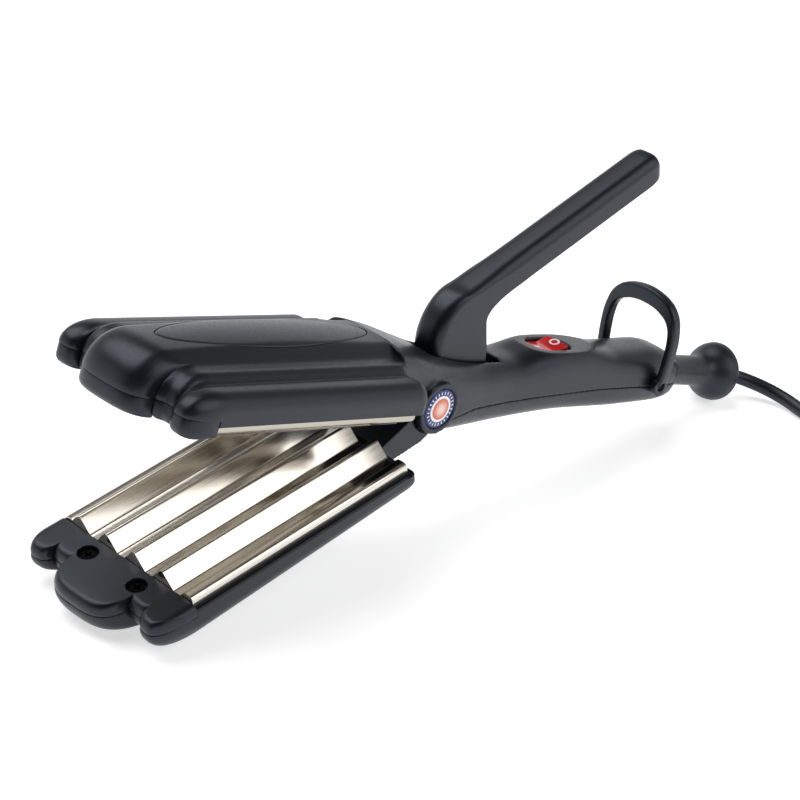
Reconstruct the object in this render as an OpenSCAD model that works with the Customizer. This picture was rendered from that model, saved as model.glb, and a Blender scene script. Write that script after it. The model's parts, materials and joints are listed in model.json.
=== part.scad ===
// Hair crimper with wave plates, a squeeze lever and a swivel cord.
// Tool frame: the pivot axis is Y through the origin, +X runs along the handle, +Z is up.
// Each jaw is drawn as heights h above the plane where the closed jaws meet.

/* [Jaws] */
// Angle between the jaws when the lever is let go
open_angle = 25.8; // [18:0.2:30]
// Distance from the pivot to the rear end of the wave plates
plate_rear = 31; // [30:0.5:34]
// Length of the wave plates
plate_len = 103; // [80:1:120]
// Half width of the jaws
jaw_half = 37; // [36:0.5:42]
// Wall thickness of the jaw covers
wall = 1.8; // [1.4:0.1:2.6]
// How far the middle nose lobe reaches past the plates
nose_mid = 26; // [22:0.5:30]
// How far the outer nose lobes reach past the plates
nose_side = 18.5; // [15:0.5:22]
// Half width of the raised middle ridge
mid_half = 13; // [11:0.5:15]
// Half width out to the edge of the low step
step_half = 24; // [22:0.5:26]
// Radius of the long outer edges
edge_r = 5; // [3:0.5:6]
// Height of the cover walls' edge over the mating plane
wall_h = 5.8; // [5.2:0.1:6.2]
// Height of the seam between a nose cap and its cover
seam_h = 8; // [7:0.5:9]

/* [Upper jaw] */
// Height of the middle ridge
up_mid_h = 26.8; // [25:0.2:30]
// Height of the step beside it
up_step_h = 20.8; // [19.5:0.2:22]
// Height of the outer ridge
up_side_h = 18.6; // [18:0.2:20]
// Height of the nose cap's face
up_cap_h = 0.9; // [0.6:0.1:2]
// Length of the nose cap's arms beside the plate
up_cap_arm = 8; // [5:0.5:12]
// Half length of the oval inlay
inlay_len = 52; // [40:1:56]
// Half width of the oval inlay
inlay_w = 12; // [8:0.5:12.5]

/* [Lower jaw] */
// Height of the middle ridge at the nose
low_mid_h = 20.6; // [19.5:0.2:23]
// Height of the step beside it
low_step_h = 18.8; // [18:0.2:19.5]
// Height of the outer ridge
low_side_h = 17.8; // [17:0.2:18.6]
// How much thinner the jaw is at its rear
low_taper = 3.4; // [0:0.2:3.8]
// Height of the nose cap's face
low_cap_h = 3; // [2.4:0.1:4]
// Radius of the two screw wells in the nose cap
well_r = 3.9; // [3.4:0.1:4.4]
// Distance of each well from the middle
well_y = 13.2; // [11:0.2:15]

/* [Wave plates] */
// Spacing of the waves
wave_pitch = 15; // [14:0.2:16]
// Depth of the waves
wave_depth = 5; // [3.5:0.1:6]
// Gap left between the plates when closed
wave_gap = 1.1; // [0.9:0.1:1.6]
// Half width of each crest's flat
crest_flat = 0.8; // [0.5:0.1:1.4]
// Half width of each valley's flat
valley_flat = 1.6; // [1.2:0.1:2.2]
// Space between the plates' sides and the outside of the jaws
plate_edge = 4.7; // [4.3:0.1:5.2]
// Height of the plates' flat back
plate_back = 6.6; // [6.2:0.1:7]

/* [Handle] */
// Distance from the pivot to the handle's rear end
handle_len = 168; // [164:1:176]
// Half width of the grip
grip_half = 13.4; // [12.8:0.1:14.5]
// Height of the grip's top over the pivot
grip_top = 13.4; // [13:0.1:14]
// Depth of the grip's underside below the pivot
grip_low = 9.8; // [9.4:0.1:11]
// Wall thickness of the handle shells
shell_t = 2.2; // [1.8:0.1:2.4]
// Height of the raised switch pad's face
pad_top = 15.2; // [14.8:0.1:15.6]
// Distance from the pivot to the switch
switch_x = 82; // [80:0.5:86]
// Radius of the round pivot bosses
boss_r = 10.3; // [9.8:0.1:10.6]
// Half width over the pivot bosses
boss_half = 21; // [20:0.2:22]
// Radius of the round badges
badge_r = 7.9; // [7:0.1:8.4]
// Radius of the pivot pin
pin_r = 4; // [3.4:0.1:4.2]

/* [Lever] */
// Width of the lever
lever_w = 14; // [12:0.2:14]
// Thickness of the lever's grip
lever_t = 12.2; // [10.5:0.1:13]
// Distance from the pivot to the lever's tip
lever_len = 140; // [120:1:140.5]
// Slope of the grip over the jaw's direction
lever_slope = 6.8; // [6:0.2:8.2]
// Width of the slot beside the lever's root, each side
slot_gap = 0.6; // [0.4:0.1:0.8]

/* [Hang loop and cord swivel] */
// Distance from the pivot to the loop's pins
loop_x = 144.5; // [144:0.5:148]
// Height of the loop over its pins
loop_len = 42; // [38:0.5:46]
// Half width of the loop at its widest
loop_half = 20.5; // [18.5:0.5:23]
// Forward lean of the loop as it stands
loop_lean = 19; // [0:1:40]
// Radius of the swivel's neck
neck_r = 6.4; // [5.8:0.1:6.8]
// Distance from the handle's end to the middle of the knob
knob_x = 38; // [35:0.5:42]
// Radius of the knob
knob_r = 12.6; // [11.6:0.1:13.2]
// Thickness of the knob
knob_t = 12.5; // [11:0.1:14]
// Downward tilt of the swivel's axis
swivel_tilt = 3; // [0:0.5:4]
// Diameter of the cord
cord_d = 6; // [5:0.1:6.4]

/* [Hidden] */

// Colours
plastic = "#3f4247";
plastic_dark = "#2c2f33";
metal_plate = "#d8d2c6";
steel = "#b9bcc0";
red = "#d0282c";
navy = "#10286a";
mica = "#b9a27a";
board_green = "#2f6b45";
rubber = "#35373b";

fine = 96;                          // facets of exact round parts
coarse = 32;                        // facets of round parts inside the moulded shells
plate_front = -(plate_rear + plate_len);
plate_mid = -(plate_rear + plate_len / 2);
crest_h = -(wave_depth - wave_gap) / 2;
valley_h = crest_h + wave_depth;
rim_h = valley_h - 2.1;             // top of the plate's rolled rim
lip_h = valley_h - 1.2;             // edge of the plate's far lip
plate_half = jaw_half - plate_edge;
rim_y = plate_half - 2.2;
frame_half = jaw_half - wall;       // inside of the cover walls
fit = 0.1;                          // gap between parts of one body
nose_base = 12;                     // reach of the nose between its lobes

// ---------- helpers ----------
function clamp(v, a, b) = min(max(v, a), b);
function ease(t) = let (c = clamp(t, 0, 1)) c * c * (3 - 2 * c);
function soft(t, k) =               // a ramp from 0 to 1 with rounded ends
    t <= -k ? 0 : t < k ? (t + k) * (t + k) / (4 * k) :
    t < 1 - k ? t : t < 1 + k ? 1 - (1 + k - t) * (1 + k - t) / (4 * k) : 1;
function dome(t) = sqrt(max(0, 1 - t * t));
function power(v, n) = sign(v) * pow(abs(v), n);
function both(list) = [for (i = [len(list) - 1 : -1 : 1]) -list[i], each list];

// Closed solid through a list of rings with equal point counts
module skin(rings) {
    n = len(rings[0]);
    m = len(rings);
    side = [for (i = [0 : m - 2], j = [0 : n - 1]) let (a = i * n + j, b = i * n + (j + 1) % n)
        each [[a, a + n, b], [b, a + n, b + n]]];
    polyhedron(
        points = [for (r = rings) each r],
        faces = concat([[for (j = [0 : n - 1]) j]], side, [[for (j = [n - 1 : -1 : 0]) (m - 1) * n + j]]),
        convexity = 8);
}

module y_cylinder(r, half, fn = fine) {
    rotate([90, 0, 0]) cylinder(r = r, h = 2 * half, center = true, $fn = fn);
}

// Same drum as one plain solid, for the moulded shells
module y_drum(r, half, fn = coarse) {
    hull() for (y = [-half, half - 0.1]) translate([0, y + 0.1, 0]) rotate([90, 0, 0])
        cylinder(r = r, h = 0.1, $fn = fn);
}

module along_y(half) {
    rotate([90, 0, 0]) linear_extrude(2 * half, center = true) children();
}

module along_x(x0, x1) {
    translate([x0, 0, 0]) rotate([90, 0, 90]) linear_extrude(x1 - x0) children();
}

module both_sides() {
    children();
    mirror([0, 1, 0]) children();
}

// Jaw heights are drawn upwards; the lower jaw is turned over and swung open
module lower_body() {
    rotate([0, -open_angle, 0]) children();
}

module lower_jaw() {
    lower_body() rotate([180, 0, 0]) children();
}

// ---------- rest pose ----------
// The tool lies on the lower jaw's middle nose lobe and on the swivel knob.
knob_core = 3.6;                    // radius of the knob's flat faces
swivel_z = 2;                       // height of the swivel's axis at the handle's end
nose_px = plate_front - nose_mid + 8.6;
nose_drop = low_mid_h - 1.57;
knob_px = handle_len + knob_x * cos(swivel_tilt);
knob_pz = swivel_z - knob_x * sin(swivel_tilt);
knob_lean = swivel_tilt + 11.9;     // close enough for the knob's round edge
knob_rest = knob_core * cos(knob_lean) + norm([(knob_r - knob_core) * cos(knob_lean), knob_t / 2 * sin(knob_lean)]);
knob_reach = knob_core * sin(knob_lean) + norm([(knob_r - knob_core) * sin(knob_lean), knob_t / 2 * cos(knob_lean)]);
nose_rx = nose_px * cos(open_angle) + nose_drop * sin(open_angle);
nose_rz = nose_px * sin(open_angle) - nose_drop * cos(open_angle);
rest_dx = knob_px - nose_rx;
rest_dz = knob_pz - nose_rz;
rest_tilt = atan2(rest_dz, rest_dx) - asin(knob_rest / norm([rest_dx, rest_dz]));
rest_z = knob_rest + knob_px * sin(rest_tilt) - knob_pz * cos(rest_tilt);
rest_front = (plate_front - nose_mid + 0.43) * cos(rest_tilt) + 2.4 * sin(rest_tilt);
rest_back = knob_px * cos(rest_tilt) + knob_pz * sin(rest_tilt) + knob_reach;
rest_x = -(rest_front + rest_back) / 2 - 0.13;
echo(rest_tilt = rest_tilt, rest_x = rest_x, rest_z = rest_z);

module rest() {
    translate([rest_x, 0, rest_z]) rotate([0, rest_tilt, 0]) children();
}

// ---------- jaw covers ----------
function lobe(y, c, w, reach) = abs(y - c) < w ? reach * pow(1 - pow(abs(y - c) / w, 3), 1 / 3) : 0;
step_c = (mid_half + 3.2 + step_half + 0.6) / 2;
side_c = (step_half + 0.8 + jaw_half) / 2;
function nose_reach(y) = let (v = abs(y))
    nose_base * dome((v - jaw_half + 6) / 6 * (v > jaw_half - 6 ? 1 : 0)) + max(
        lobe(v, 0, mid_half + 3.2, nose_mid - nose_base),
        lobe(v, step_c, step_c - mid_half - 2.8, 2.4),
        lobe(v, side_c, jaw_half - side_c, nose_side - nose_base));
function ridge(y, hm, hs, ho) = let (v = abs(y), e = (v - jaw_half + edge_r) / edge_r)
    ho + (hs - ho) * ease((step_half + 1.8 - v) / 3.2) + (hm - hs) * ease((mid_half + 5 - v) / 5.5)
    - (v < mid_half + 1 ? 0.06 * v : 0.06 * (mid_half + 1)) * (hm > up_step_h ? 1 : 0.3)
    - (e > 0 ? edge_r * (1 - dome(e)) : 0);
function crown(x, y, drop) = drop * ease((mid_half + 5 - abs(y)) / 5.5)
    * pow((x - plate_mid) / (plate_len / 2 + nose_mid), 2);

// Side profile of a cover at the station y: front rounding, top line, rear rounding, wall edge
function cover_ring(y, hm, hs, ho, taper, arm) = let (
        top = ridge(y, hm, hs, ho),
        xf = plate_front - nose_reach(y),
        xr = -plate_rear + wall + 1.2,
        lf = min(13, nose_reach(y) + 4),
        lr = 4,
        step = plate_front + arm,
        drop = ease((mid_half + 5 - abs(y)) / 5.5) * 1.6,
        h = function (x) top - crown(x, y, drop) - taper * clamp((x - plate_front) / plate_len, 0, 1))
    concat(
        [[step, y, wall_h], [step, y, seam_h], [xf, y, seam_h]],
        [for (a = [15 : 15 : 90]) let (x = xf + lf * (1 - pow(cos(a), 0.8)))
            [x, y, seam_h + (h(x) - seam_h) * pow(sin(a), 0.8)]],
        [for (i = [1 : 6]) let (x = xf + lf + (xr - lr - xf - lf) * i / 6) [x, y, h(x)]],
        [for (a = [30 : 30 : 90]) let (x = xr - lr + lr * sin(a))
            [x, y, wall_h + (h(xr - lr) - wall_h) * (1 - (1 - cos(a)) * 0.35)]],
        [[xr, y, wall_h]]);
cover_ys = both([0, 5, 10, 12.5, 14, 15.3, 16.4, 17.6, 19, 21, 23, 24.2, 25.2, 26.6, 28.5, 30.5,
    32.5, 34, 35.2, 36.2, 36.8, 37]);
function cover_y(v) = v * jaw_half / 37;

module cover_outer(hm, hs, ho, taper, arm) {
    skin([for (v = cover_ys) cover_ring(cover_y(v), hm, hs, ho, taper, arm)]);
}

// Room inside a cover
module cover_cavity(hm, hs, ho, taper) {
    top = [
        [-frame_half, ho - edge_r - taper], [-frame_half + 2, ho - wall - 1.5 - taper],
        [-step_half - 2, ho - wall - 1.2 - taper], [-step_half + 1, hs - wall - 0.6 - taper],
        [-mid_half - 5, hs - wall - 0.6 - taper], [-mid_half, hm - wall - 1.8 - taper]
    ];
    mirrored = [for (i = [len(top) - 1 : -1 : 0]) [-top[i][0], top[i][1]]];
    along_x(plate_front - 4, -plate_rear + 0.6)
        polygon(concat([[-frame_half, 0]], top, mirrored, [[frame_half, 0]]));
}

module jaw_cover(hm, hs, ho, taper, arm) {
    difference() {
        cover_outer(hm, hs, ho, taper, arm);
        difference() {
            cover_cavity(hm, hs, ho, taper);
            roof_ribs(hm, taper);
        }
    }
}

// ---------- nose caps ----------
cap_round = 2.4;
function cap_ring(y, face, arm) = let (
        xf = plate_front - nose_reach(y) + 0.25,
        e = (abs(y) - jaw_half + 3.5) / 3.5,
        rise = min(3.2, seam_h - face - cap_round - 0.6),
        low = face + (e > 0 ? rise * (1 - dome(e)) : 0),
        back = plate_front + arm - fit)
    concat(
        [[back, y, seam_h - 0.05], [back, y, low]],
        [for (a = [90 : -22.5 : 0]) [xf + cap_round * (1 - cos(a)), y, low + cap_round * (1 - sin(a))]],
        [[xf, y, seam_h - 0.05]]);

module nose_cap(face, arm) {
    difference() {
        skin([for (v = cover_ys) if (nose_reach(cover_y(v)) + arm > 5) cap_ring(cover_y(v), face, arm)]);
        // bay for the plate and its frame
        if (arm > fit) translate([plate_front - fit, -frame_half - 0.05, -10])
            cube([60, 2 * frame_half + 0.1, 40]);
        well_places() translate([0, 0, face - 5]) cylinder(r = well_r, h = screw_seat - face + 5, $fn = 48);
        well_places() cylinder(r = 1.35, h = 20, $fn = 24);
    }
}

well_x = plate_front - 7;
module well_places() {
    for (s = [-1, 1]) translate([well_x, s * well_y, 0]) children();
}

// ---------- wave plates ----------
function wave(u) = let (d = abs(u - wave_pitch * round(u / wave_pitch)),
        run = wave_pitch / 2 - crest_flat - valley_flat)
    crest_h + wave_depth * soft((d - crest_flat) / run, 0.12);
// The crests stand a quarter pitch off the middle, so that the same plate turned over meshes with it
function wave_edge(y) = let (h = wave(y - wave_pitch / 4))
    abs(y) < rim_y ? h : clamp(h, rim_h, lip_h);
wave_run = wave_pitch / 2 - crest_flat - valley_flat;
wave_marks = [for (t = [-0.12, -0.06, 0, 0.06, 0.12, 0.88, 0.94, 1, 1.06, 1.12])
    crest_flat + t * wave_run];
// Sample places along the wave, in order, inside the rims
wave_places = [for (k = [-3 : 3])
    let (c = (k + 0.25) * wave_pitch)
    each [for (i = [len(wave_marks) - 1 : -1 : 0]) c - wave_marks[i], for (m = wave_marks) c + m]];

module wave_plate() {
    inner = [for (y = wave_places) if (abs(y) < rim_y) [y, wave_edge(y)]];
    rim = function (s) let (h = wave_edge(s * (rim_y + 0.6)))
        [[s * rim_y, h + 0.15], [s * (rim_y + 0.6), h], [s * (plate_half - 0.9), h],
         [s * (plate_half - 0.3), h + 0.35], [s * plate_half, h + 1.1]];
    left = rim(-1);
    right = rim(1);
    color(metal_plate) along_x(plate_front, -plate_rear) polygon(concat(
        [[-plate_half, plate_back]], [for (i = [4 : -1 : 0]) left[i]], inner, right, [[plate_half, plate_back]]));
}

// ---------- plate frames, heaters, insulation, fuses ----------
frame_back = plate_back + 2.2;
heater_t = 2;
module plate_frame() {
    color(plastic_dark) difference() {
        along_x(plate_front, -plate_rear + 0.5)
            polygon([
                [-frame_half, frame_back], [-frame_half, wall_h - 0.6], [-plate_half - fit, wall_h - 2.2],
                [-plate_half - fit, plate_back], [plate_half + fit, plate_back],
                [plate_half + fit, wall_h - 2.2], [frame_half, wall_h - 0.6], [frame_half, frame_back]]);
        // window behind the plate
        translate([plate_front + 4, -plate_half + 3, 0]) cube([plate_len - 8, 2 * plate_half - 6, 30]);
    }
}

module heater() {
    color(steel) translate([plate_front + 5, -plate_half + 4, plate_back])
        cube([plate_len - 10, 2 * plate_half - 8, heater_t]);
}

insulation_t = 1.2;
module insulation() {
    color(mica) translate([plate_front + 5, -plate_half + 4, plate_back + heater_t])
        cube([plate_len - 10, 2 * plate_half - 8, insulation_t]);
}

fuse_r = 1.6;
fuse_h = plate_back + heater_t + insulation_t;
module thermal_fuse() {
    color(steel) translate([plate_mid + 30, 0, fuse_h]) {
        translate([-5.5, 0, fuse_r]) rotate([0, 90, 0]) cylinder(r = fuse_r, h = 11, $fn = 32);
        translate([-3, -3, 0]) cube([6, 6, 0.6]);
        translate([-9, -0.3, fuse_r - 0.3]) cube([18, 0.6, 0.6]);
    }
}

// Cross-head screws at the bottom of the nose cap's wells
screw_head = 1.6;
module nose_screws() {
    color(steel) well_places() difference() {
        union() {
            translate([0, 0, screw_seat - screw_head]) cylinder(r = 2.8, h = screw_head, $fn = 32);
            translate([0, 0, screw_seat]) cylinder(r = 1.25, h = screw_len, $fn = 24);
        }
        for (a = [0, 90]) translate([0, 0, screw_seat - screw_head]) rotate(a)
            cube([3.4, 0.7, 1.6], center = true);
    }
}

// ---------- upper jaw ----------
screw_seat = 5.6;                   // floor of the nose screws' wells
screw_len = 6;
module post_holes() {
    well_places() translate([0, 0, seam_h - 1]) cylinder(r = 1.3, h = screw_len - 1, $fn = 24);
}

// Oval inlay in the middle ridge
inlay_t = 1.2;
function inlay_bed(x) = up_mid_h - 0.06 * inlay_w - 0.4 - crown(x, 0, 1.6);
module inlay_column(grow, extra) {
    ex = inlay_len + grow;
    ey = inlay_w + grow;
    intersection() {
        translate([plate_mid, 0, 10]) linear_extrude(40)
            polygon([for (a = [0 : 6 : 354]) [ex * cos(a), ey * sin(a)]]);
        along_y(ey + 2) polygon(concat(
            [for (i = [-6 : 6]) let (x = plate_mid + i * (inlay_len + 3) / 6) [x, inlay_bed(x)]],
            [for (i = [6 : -1 : -6]) let (x = plate_mid + i * (inlay_len + 3) / 6)
                [x, extra > 0 ? up_mid_h + extra : inlay_bed(x) + inlay_t]]));
    }
}

module oval_inlay() {
    color(plastic) inlay_column(0, 0);
}

// Stiffening ribs under a cover's roof
module roof_ribs(hm, drop) {
    for (x = [-124, -112, -100, -88, -76, -64, -52, -42]) hull() {
        translate([x - 0.6, -mid_half, hm - drop - 4]) cube([1.2, 2 * mid_half, 3.5]);
        translate([x - 0.9, -mid_half, hm - drop - 2.4]) cube([1.8, 2 * mid_half, 1]);
    }
}

module upper_jaw_cover() {
    color(plastic) difference() {
        jaw_cover(up_mid_h, up_step_h, up_side_h, 0, up_cap_arm);
        inlay_column(0.12, 6);
        post_holes();
        neck_room();
    }
}

// ---------- handle ----------
handle_xs = [-27.9, -24, -18, -12, -6, 0, 6, 12, 18, 24, 32, 40, 48, 56, 64, 74, 86, 98, 110, 122,
    134, 146, 152, 157, 161, 164.5, 167, 168];
function handle_x(v) = v < 134 ? v : 134 + (v - 134) * (handle_len - 134) / 34;
function handle_w(v) = lookup(v, [[-30, 22], [-18, 20.2], [-6, 19], [6, 18.6], [18, 17.4], [32, 15.6],
    [48, 14.2], [64, 13.6], [98, 13.4], [134, 13.4], [146, 13], [152, 12.6], [157, 11.6], [161, 10.4],
    [164.5, 8.8], [167, 7.5], [168, 7]]) + (v > 30 ? grip_half - 13.4 : 0);
function handle_top(v) = lookup(v, [[-30, 24.2], [-18, 22], [-6, 18.8], [6, 15.8], [18, 13.6],
    [32, 12.6], [48, 12.9], [64, 13.3], [98, 13.2], [122, 13.2], [146, 14], [152, 13.6], [157, 12.4],
    [161, 11], [164.5, 9.6], [167, 8.8], [168, 8.5]]) + (v > 30 && v < 160 ? grip_top - 13.4 : 0);
function handle_low(v) = lookup(v, [[-30, 4.6], [-18, 4.6], [-6, 0], [0, -10], [6, -13.6],
    [18, -14.4], [32, -13.6], [56, -11.8], [86, -10], [122, -9.8], [146, -9], [152, -8.4],
    [157, -7.5], [161, -6.5], [164.5, -5.4], [167, -4.8], [168, -4.5]])
    + (v > 50 && v < 160 ? 9.8 - grip_low : 0);
function handle_ring(v, t) = let (
        w = handle_w(v) - t, top = handle_top(v) - t, low = handle_low(v) + t,
        zc = (top + low) / 2, hh = (top - low) / 2)
    [for (a = [0 : 18 : 342]) [handle_x(v), w * power(cos(a), 0.66), zc + hh * power(sin(a), 0.66)]];

hub_half = 11.4;                    // half width of the moving hub
hub_r = 9.4;
run_gap = 0.5;                      // running gap round the hub
arm_half = 18;                      // half width of the hinge arm
slot_half = lever_w / 2 + slot_gap;
slot_front = 0;
slot_rear = 46;
seam_line = [[-60, 3], [-11, 3], [-9, -6.5], [13.5, -6.5], [26, -3.4], [108, 0.6], [handle_len + 20, 0.9]];

module above_seam() {
    along_y(40) polygon(concat(seam_line, [[handle_len + 20, 60], [-60, 60]]));
}

module below_seam() {
    along_y(40) polygon(concat([for (p = seam_line) [p[0], p[1] - 0.02]], [[handle_len + 20, -60], [-60, -60]]));
}

module handle_solid() {
    skin([for (v = handle_xs) handle_ring(v, 0)]);
}

cavity_xs = [for (v = handle_xs) if (v > 13 && v < 160) v];
module handle_cavity() {
    skin([for (v = cavity_xs) handle_ring(v, shell_t)]);
}

// Room that the moving hub, arm and lever root sweep through
module hub_room() {
    y_drum(hub_r + run_gap + 0.8, hub_half + 0.3);
    along_y(arm_half + 0.5) polygon([[-80, 3.4], [-12, 3.4], [-8, 5.5], [0, 0], [8, -8], [14, -9], [14, -60], [-80, -60]]);
    // slot for the lever's root, open to the top
    along_y(slot_half) polygon([[0, -8], [slot_rear - 6, -9], [slot_rear - 2, 4], [slot_rear, 9],
        [slot_rear, 40], [slot_front, 40], [slot_front, 8]]);
}

module bosses() {
    difference() {
        union() {
            both_sides() translate([0, -hub_half - 0.3 - (boss_half - hub_half - 0.3) / 2, 0])
                y_drum(boss_r, (boss_half - hub_half - 0.3) / 2, 40);
        }
        // beds for the badges
        both_sides() translate([0, -boss_half, 0]) y_drum(badge_r + 0.15, badge_bed, 48);
        y_drum(pin_r + 0.02, boss_half + 1);
    }
}
badge_bed = 1.4;

// Raised pad round the switch, with its oval well
pad_len = 60;
pad_w = 18.5;
module switch_pad() {
    translate([switch_x - 1, 0, 0]) intersection() {
        scale([1, pad_w / pad_len, 1]) cylinder(r = pad_len / 2, h = pad_top, $fn = 44);
        translate([-100, -50, grip_top - 4.4]) cube([200, 100, 40]);
    }
}

well_len = 26.6;
well_wide = 13.6;
module switch_well(grow) {
    translate([switch_x, 0, grip_top - 8]) linear_extrude(30) {
        square([well_len - well_wide + 2 * grow, well_wide + 2 * grow], center = true);
        for (s = [-1, 1]) translate([s * (well_len - well_wide) / 2, 0]) circle(r = well_wide / 2 + grow, $fn = 32);
    }
}

module neck_room() {
    // pocket in the cover's rear wall for the handle's tongue
    translate([-plate_rear - 8, -tongue_w / 2 - fit, tongue_z - fit])
        cube([30, tongue_w + 2 * fit, tongue_t + 2 * fit]);
}
tongue_w = 26;
tongue_t = 5;
tongue_z = 11;
tongue_len = 14;

boss_cut = boss_r + 0.3;
module swivel_frame() {
    translate([handle_len, 0, swivel_z]) rotate([0, swivel_tilt, 0]) children();
}

// Bearing for the swivel's shaft and collar in the handle's end
module swivel_cut() {
    swivel_frame() rotate([0, -90, 0]) {
        translate([0, 0, -4]) cylinder(r = neck_r - 1.34, h = 16.5, $fn = coarse);
        translate([0, 0, 5]) cylinder(r = neck_r + 0.3, h = 4, $fn = coarse);
    }
}

loop_z = 1.8;
loop_pin_r = 2;
loop_bed = 1.2;
module loop_places() {
    both_sides() translate([loop_x, -13.1, loop_z]) children();
}

module handle_shell(upper) {
    difference() {
        union() {
            intersection() {
                union() {
                    difference() {
                        handle_solid();
                        handle_cavity();
                    }
                    screw_posts();
                    if (upper) switch_pad();
                }
                if (upper) above_seam();
                if (!upper) below_seam();
            }
        }
        hub_room();
        screw_holes();
        swivel_cut();
        if (upper) switch_well(0);
        if (!upper) both_sides() y_drum(boss_cut, 60, 48);
        if (upper) both_sides() translate([0, -boss_half + 0.5, 0]) y_drum(boss_r + 0.02, 6, 48);
        y_drum(pin_r + 0.02, 40);
        both_sides() translate([loop_x, -15, loop_z]) y_drum(loop_pin_r + 0.02, 6, 24);
    }
}

module handle_upper_shell() {
    color(plastic) {
        handle_shell(true);
        difference() {
            bosses();
            hub_room_cylinder();
        }
        translate([-plate_rear - 8, -tongue_w / 2, tongue_z]) cube([tongue_len, tongue_w, tongue_t]);
    }
}

module hub_room_cylinder() {
    y_drum(hub_r + run_gap + 0.8, hub_half + 0.29);
}

module handle_lower_shell() {
    color(plastic) handle_shell(false);
}

// Each handle screw: distance from the pivot and height of its head's seat
handle_screw_list = [[55, -9.4], [133, -7.2]];
module handle_screws() {
    color(steel) for (p = handle_screw_list) translate([p[0], 0, p[1]]) {
        translate([0, 0, -1.6]) cylinder(r = 2.4, h = 1.6, $fn = 32);
        cylinder(r = 1.2, h = 14, $fn = 24);
    }
}

module screw_posts() {
    intersection() {
        handle_solid();
        for (p = handle_screw_list) hull() for (z = [-16, 12])
            translate([p[0], 0, z]) cylinder(r = 3.7, h = 0.2, $fn = 22);
    }
}

module screw_holes() {
    for (p = handle_screw_list) translate([p[0], 0, p[1]]) {
        translate([0, 0, -10]) cylinder(r = 2.6, h = 10, $fn = 24);
        translate([0, 0, -5]) cylinder(r = 1.3, h = 19.4, $fn = 16);
    }
}

module pivot_pin() {
    color(steel) y_cylinder(pin_r, boss_half - badge_bed - 0.1);
}

module badge() {
    color(navy) rotate([90, 0, 0]) {
        translate([0, 0, boss_half - badge_bed + 0.02]) cylinder(r = badge_r, h = badge_bed - 0.1, $fn = fine);
        translate([0, 0, boss_half - 0.08]) cylinder(r1 = 3.4, r2 = 2.6, h = 0.5, $fn = 48);
    }
}

// Spring wound round the pin, in the far side of the hub
spring_r = 6.1;
wire_r = 0.6;
spring_turns = 2.25;
spring_pitch = 1.35;
spring_y = 7.15;
module torsion_spring() {
    steps = 16;
    path = function (i) let (a = 360 * i / steps)
        [spring_r * cos(a), spring_y + wire_r + spring_pitch * i / steps, spring_r * sin(a)];
    color(steel) skin([for (i = [0 : round(steps * spring_turns)]) let (p = path(i), a = 360 * i / steps)
        [for (b = [0 : 60 : 300]) [
            p[0] + wire_r * cos(b) * cos(a), p[1] + wire_r * sin(b), p[2] + wire_r * cos(b) * sin(a)]]]);
}

module hub_spring_room() {
    translate([0, spring_y + 5, 0]) y_cylinder(spring_r + wire_r + 0.35, 5);
}

// ---------- switch ----------
rocker_len = 20;
rocker_w = 11.4;
rocker_r = 16;
rocker_axis_z = 11.6;
switch_top = grip_top - 1;
module switch_body() {
    color(plastic_dark) difference() {
        union() {
            intersection() {
                switch_well(-0.1);
                translate([switch_x - 20, -20, switch_top - 3.6]) cube([40, 40, 3.6]);
            }
            translate([switch_x - 12.2, -6.7, switch_top - 14]) cube([24.4, 13.4, 10.4]);
        }
        translate([switch_x, 0, rocker_axis_z]) y_cylinder(rocker_len / 2 + 0.9, rocker_w / 2 + 0.3, 64);
        translate([switch_x, 0, rocker_axis_z]) y_cylinder(1.25, 6.6, 32);
    }
}

module rocker_outline() {
    intersection() {
        circle(r = rocker_len / 2, $fn = 72);
        polygon([[-12, -5], [12, -5], [12, 6.2], [0, 3.4], [-12, 6.2]]);
    }
}

rocker_tilt = 10;
module rocker() {
    color(red) translate([switch_x, 0, rocker_axis_z]) rotate([0, -rocker_tilt, 0]) {
        along_y(rocker_w / 2) rocker_outline();
        y_cylinder(1.2, 6.4, 32);
    }
}

board_z = -4.4;
board_x = switch_x + 15;
board_len = handle_len - board_x - 41;
module circuit_board() {
    k = board_len / 30;
    color(board_green) translate([board_x, -8, board_z]) cube([board_len, 16, 1.6]);
    color(plastic_dark) translate([board_x + 4 * k, -5, board_z + 1.6]) cube([9 * k, 7, 4]);
    color(steel) translate([board_x + 17 * k, -4, board_z + 1.6]) cube([9 * k, 8, 3]);
    color(plastic_dark) for (x = [2, 25]) translate([board_x + x * k, -2.5, board_z - 3.1]) cube([3, 5, 3.1]);
}

anchor_len = 9;
module cord_anchor() {
    color(plastic_dark) swivel_frame() difference() {
        translate([-28, -5.5, -8.6]) cube([anchor_len, 11, 13.8]);
        translate([-30, 0, 0]) rotate([0, 90, 0]) cylinder(r = cord_d / 2 + 0.04, h = 20, $fn = 32);
    }
}

// ---------- hang loop ----------
loop_bar = 5;
loop_edge = 2.6;
module loop_pins() {
    color(steel) both_sides() translate([loop_x, -13, loop_z]) y_cylinder(loop_pin_r, 3.4, 48);
}

function loop_path(t) =             // from one foot over the top to the other
    let (s = sign(t), v = abs(t))   // t from -1 to 1, 0 at the top
    [s * lookup(v, [[0, 0], [0.12, 5.5], [0.25, 11], [0.38, 15.6], [0.5, 18.6], [0.62, 20.2],
        [0.72, 20.4], [0.86, 18.6], [1, 16.2]]) * loop_half / 20.5,
     lookup(v, [[0, loop_len - 2.6], [0.12, loop_len - 3], [0.25, loop_len - 4.6], [0.38, loop_len - 7.6],
        [0.5, loop_len - 12], [0.62, loop_len - 18], [0.72, loop_len - 24], [0.86, 8], [1, 0]])];

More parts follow.
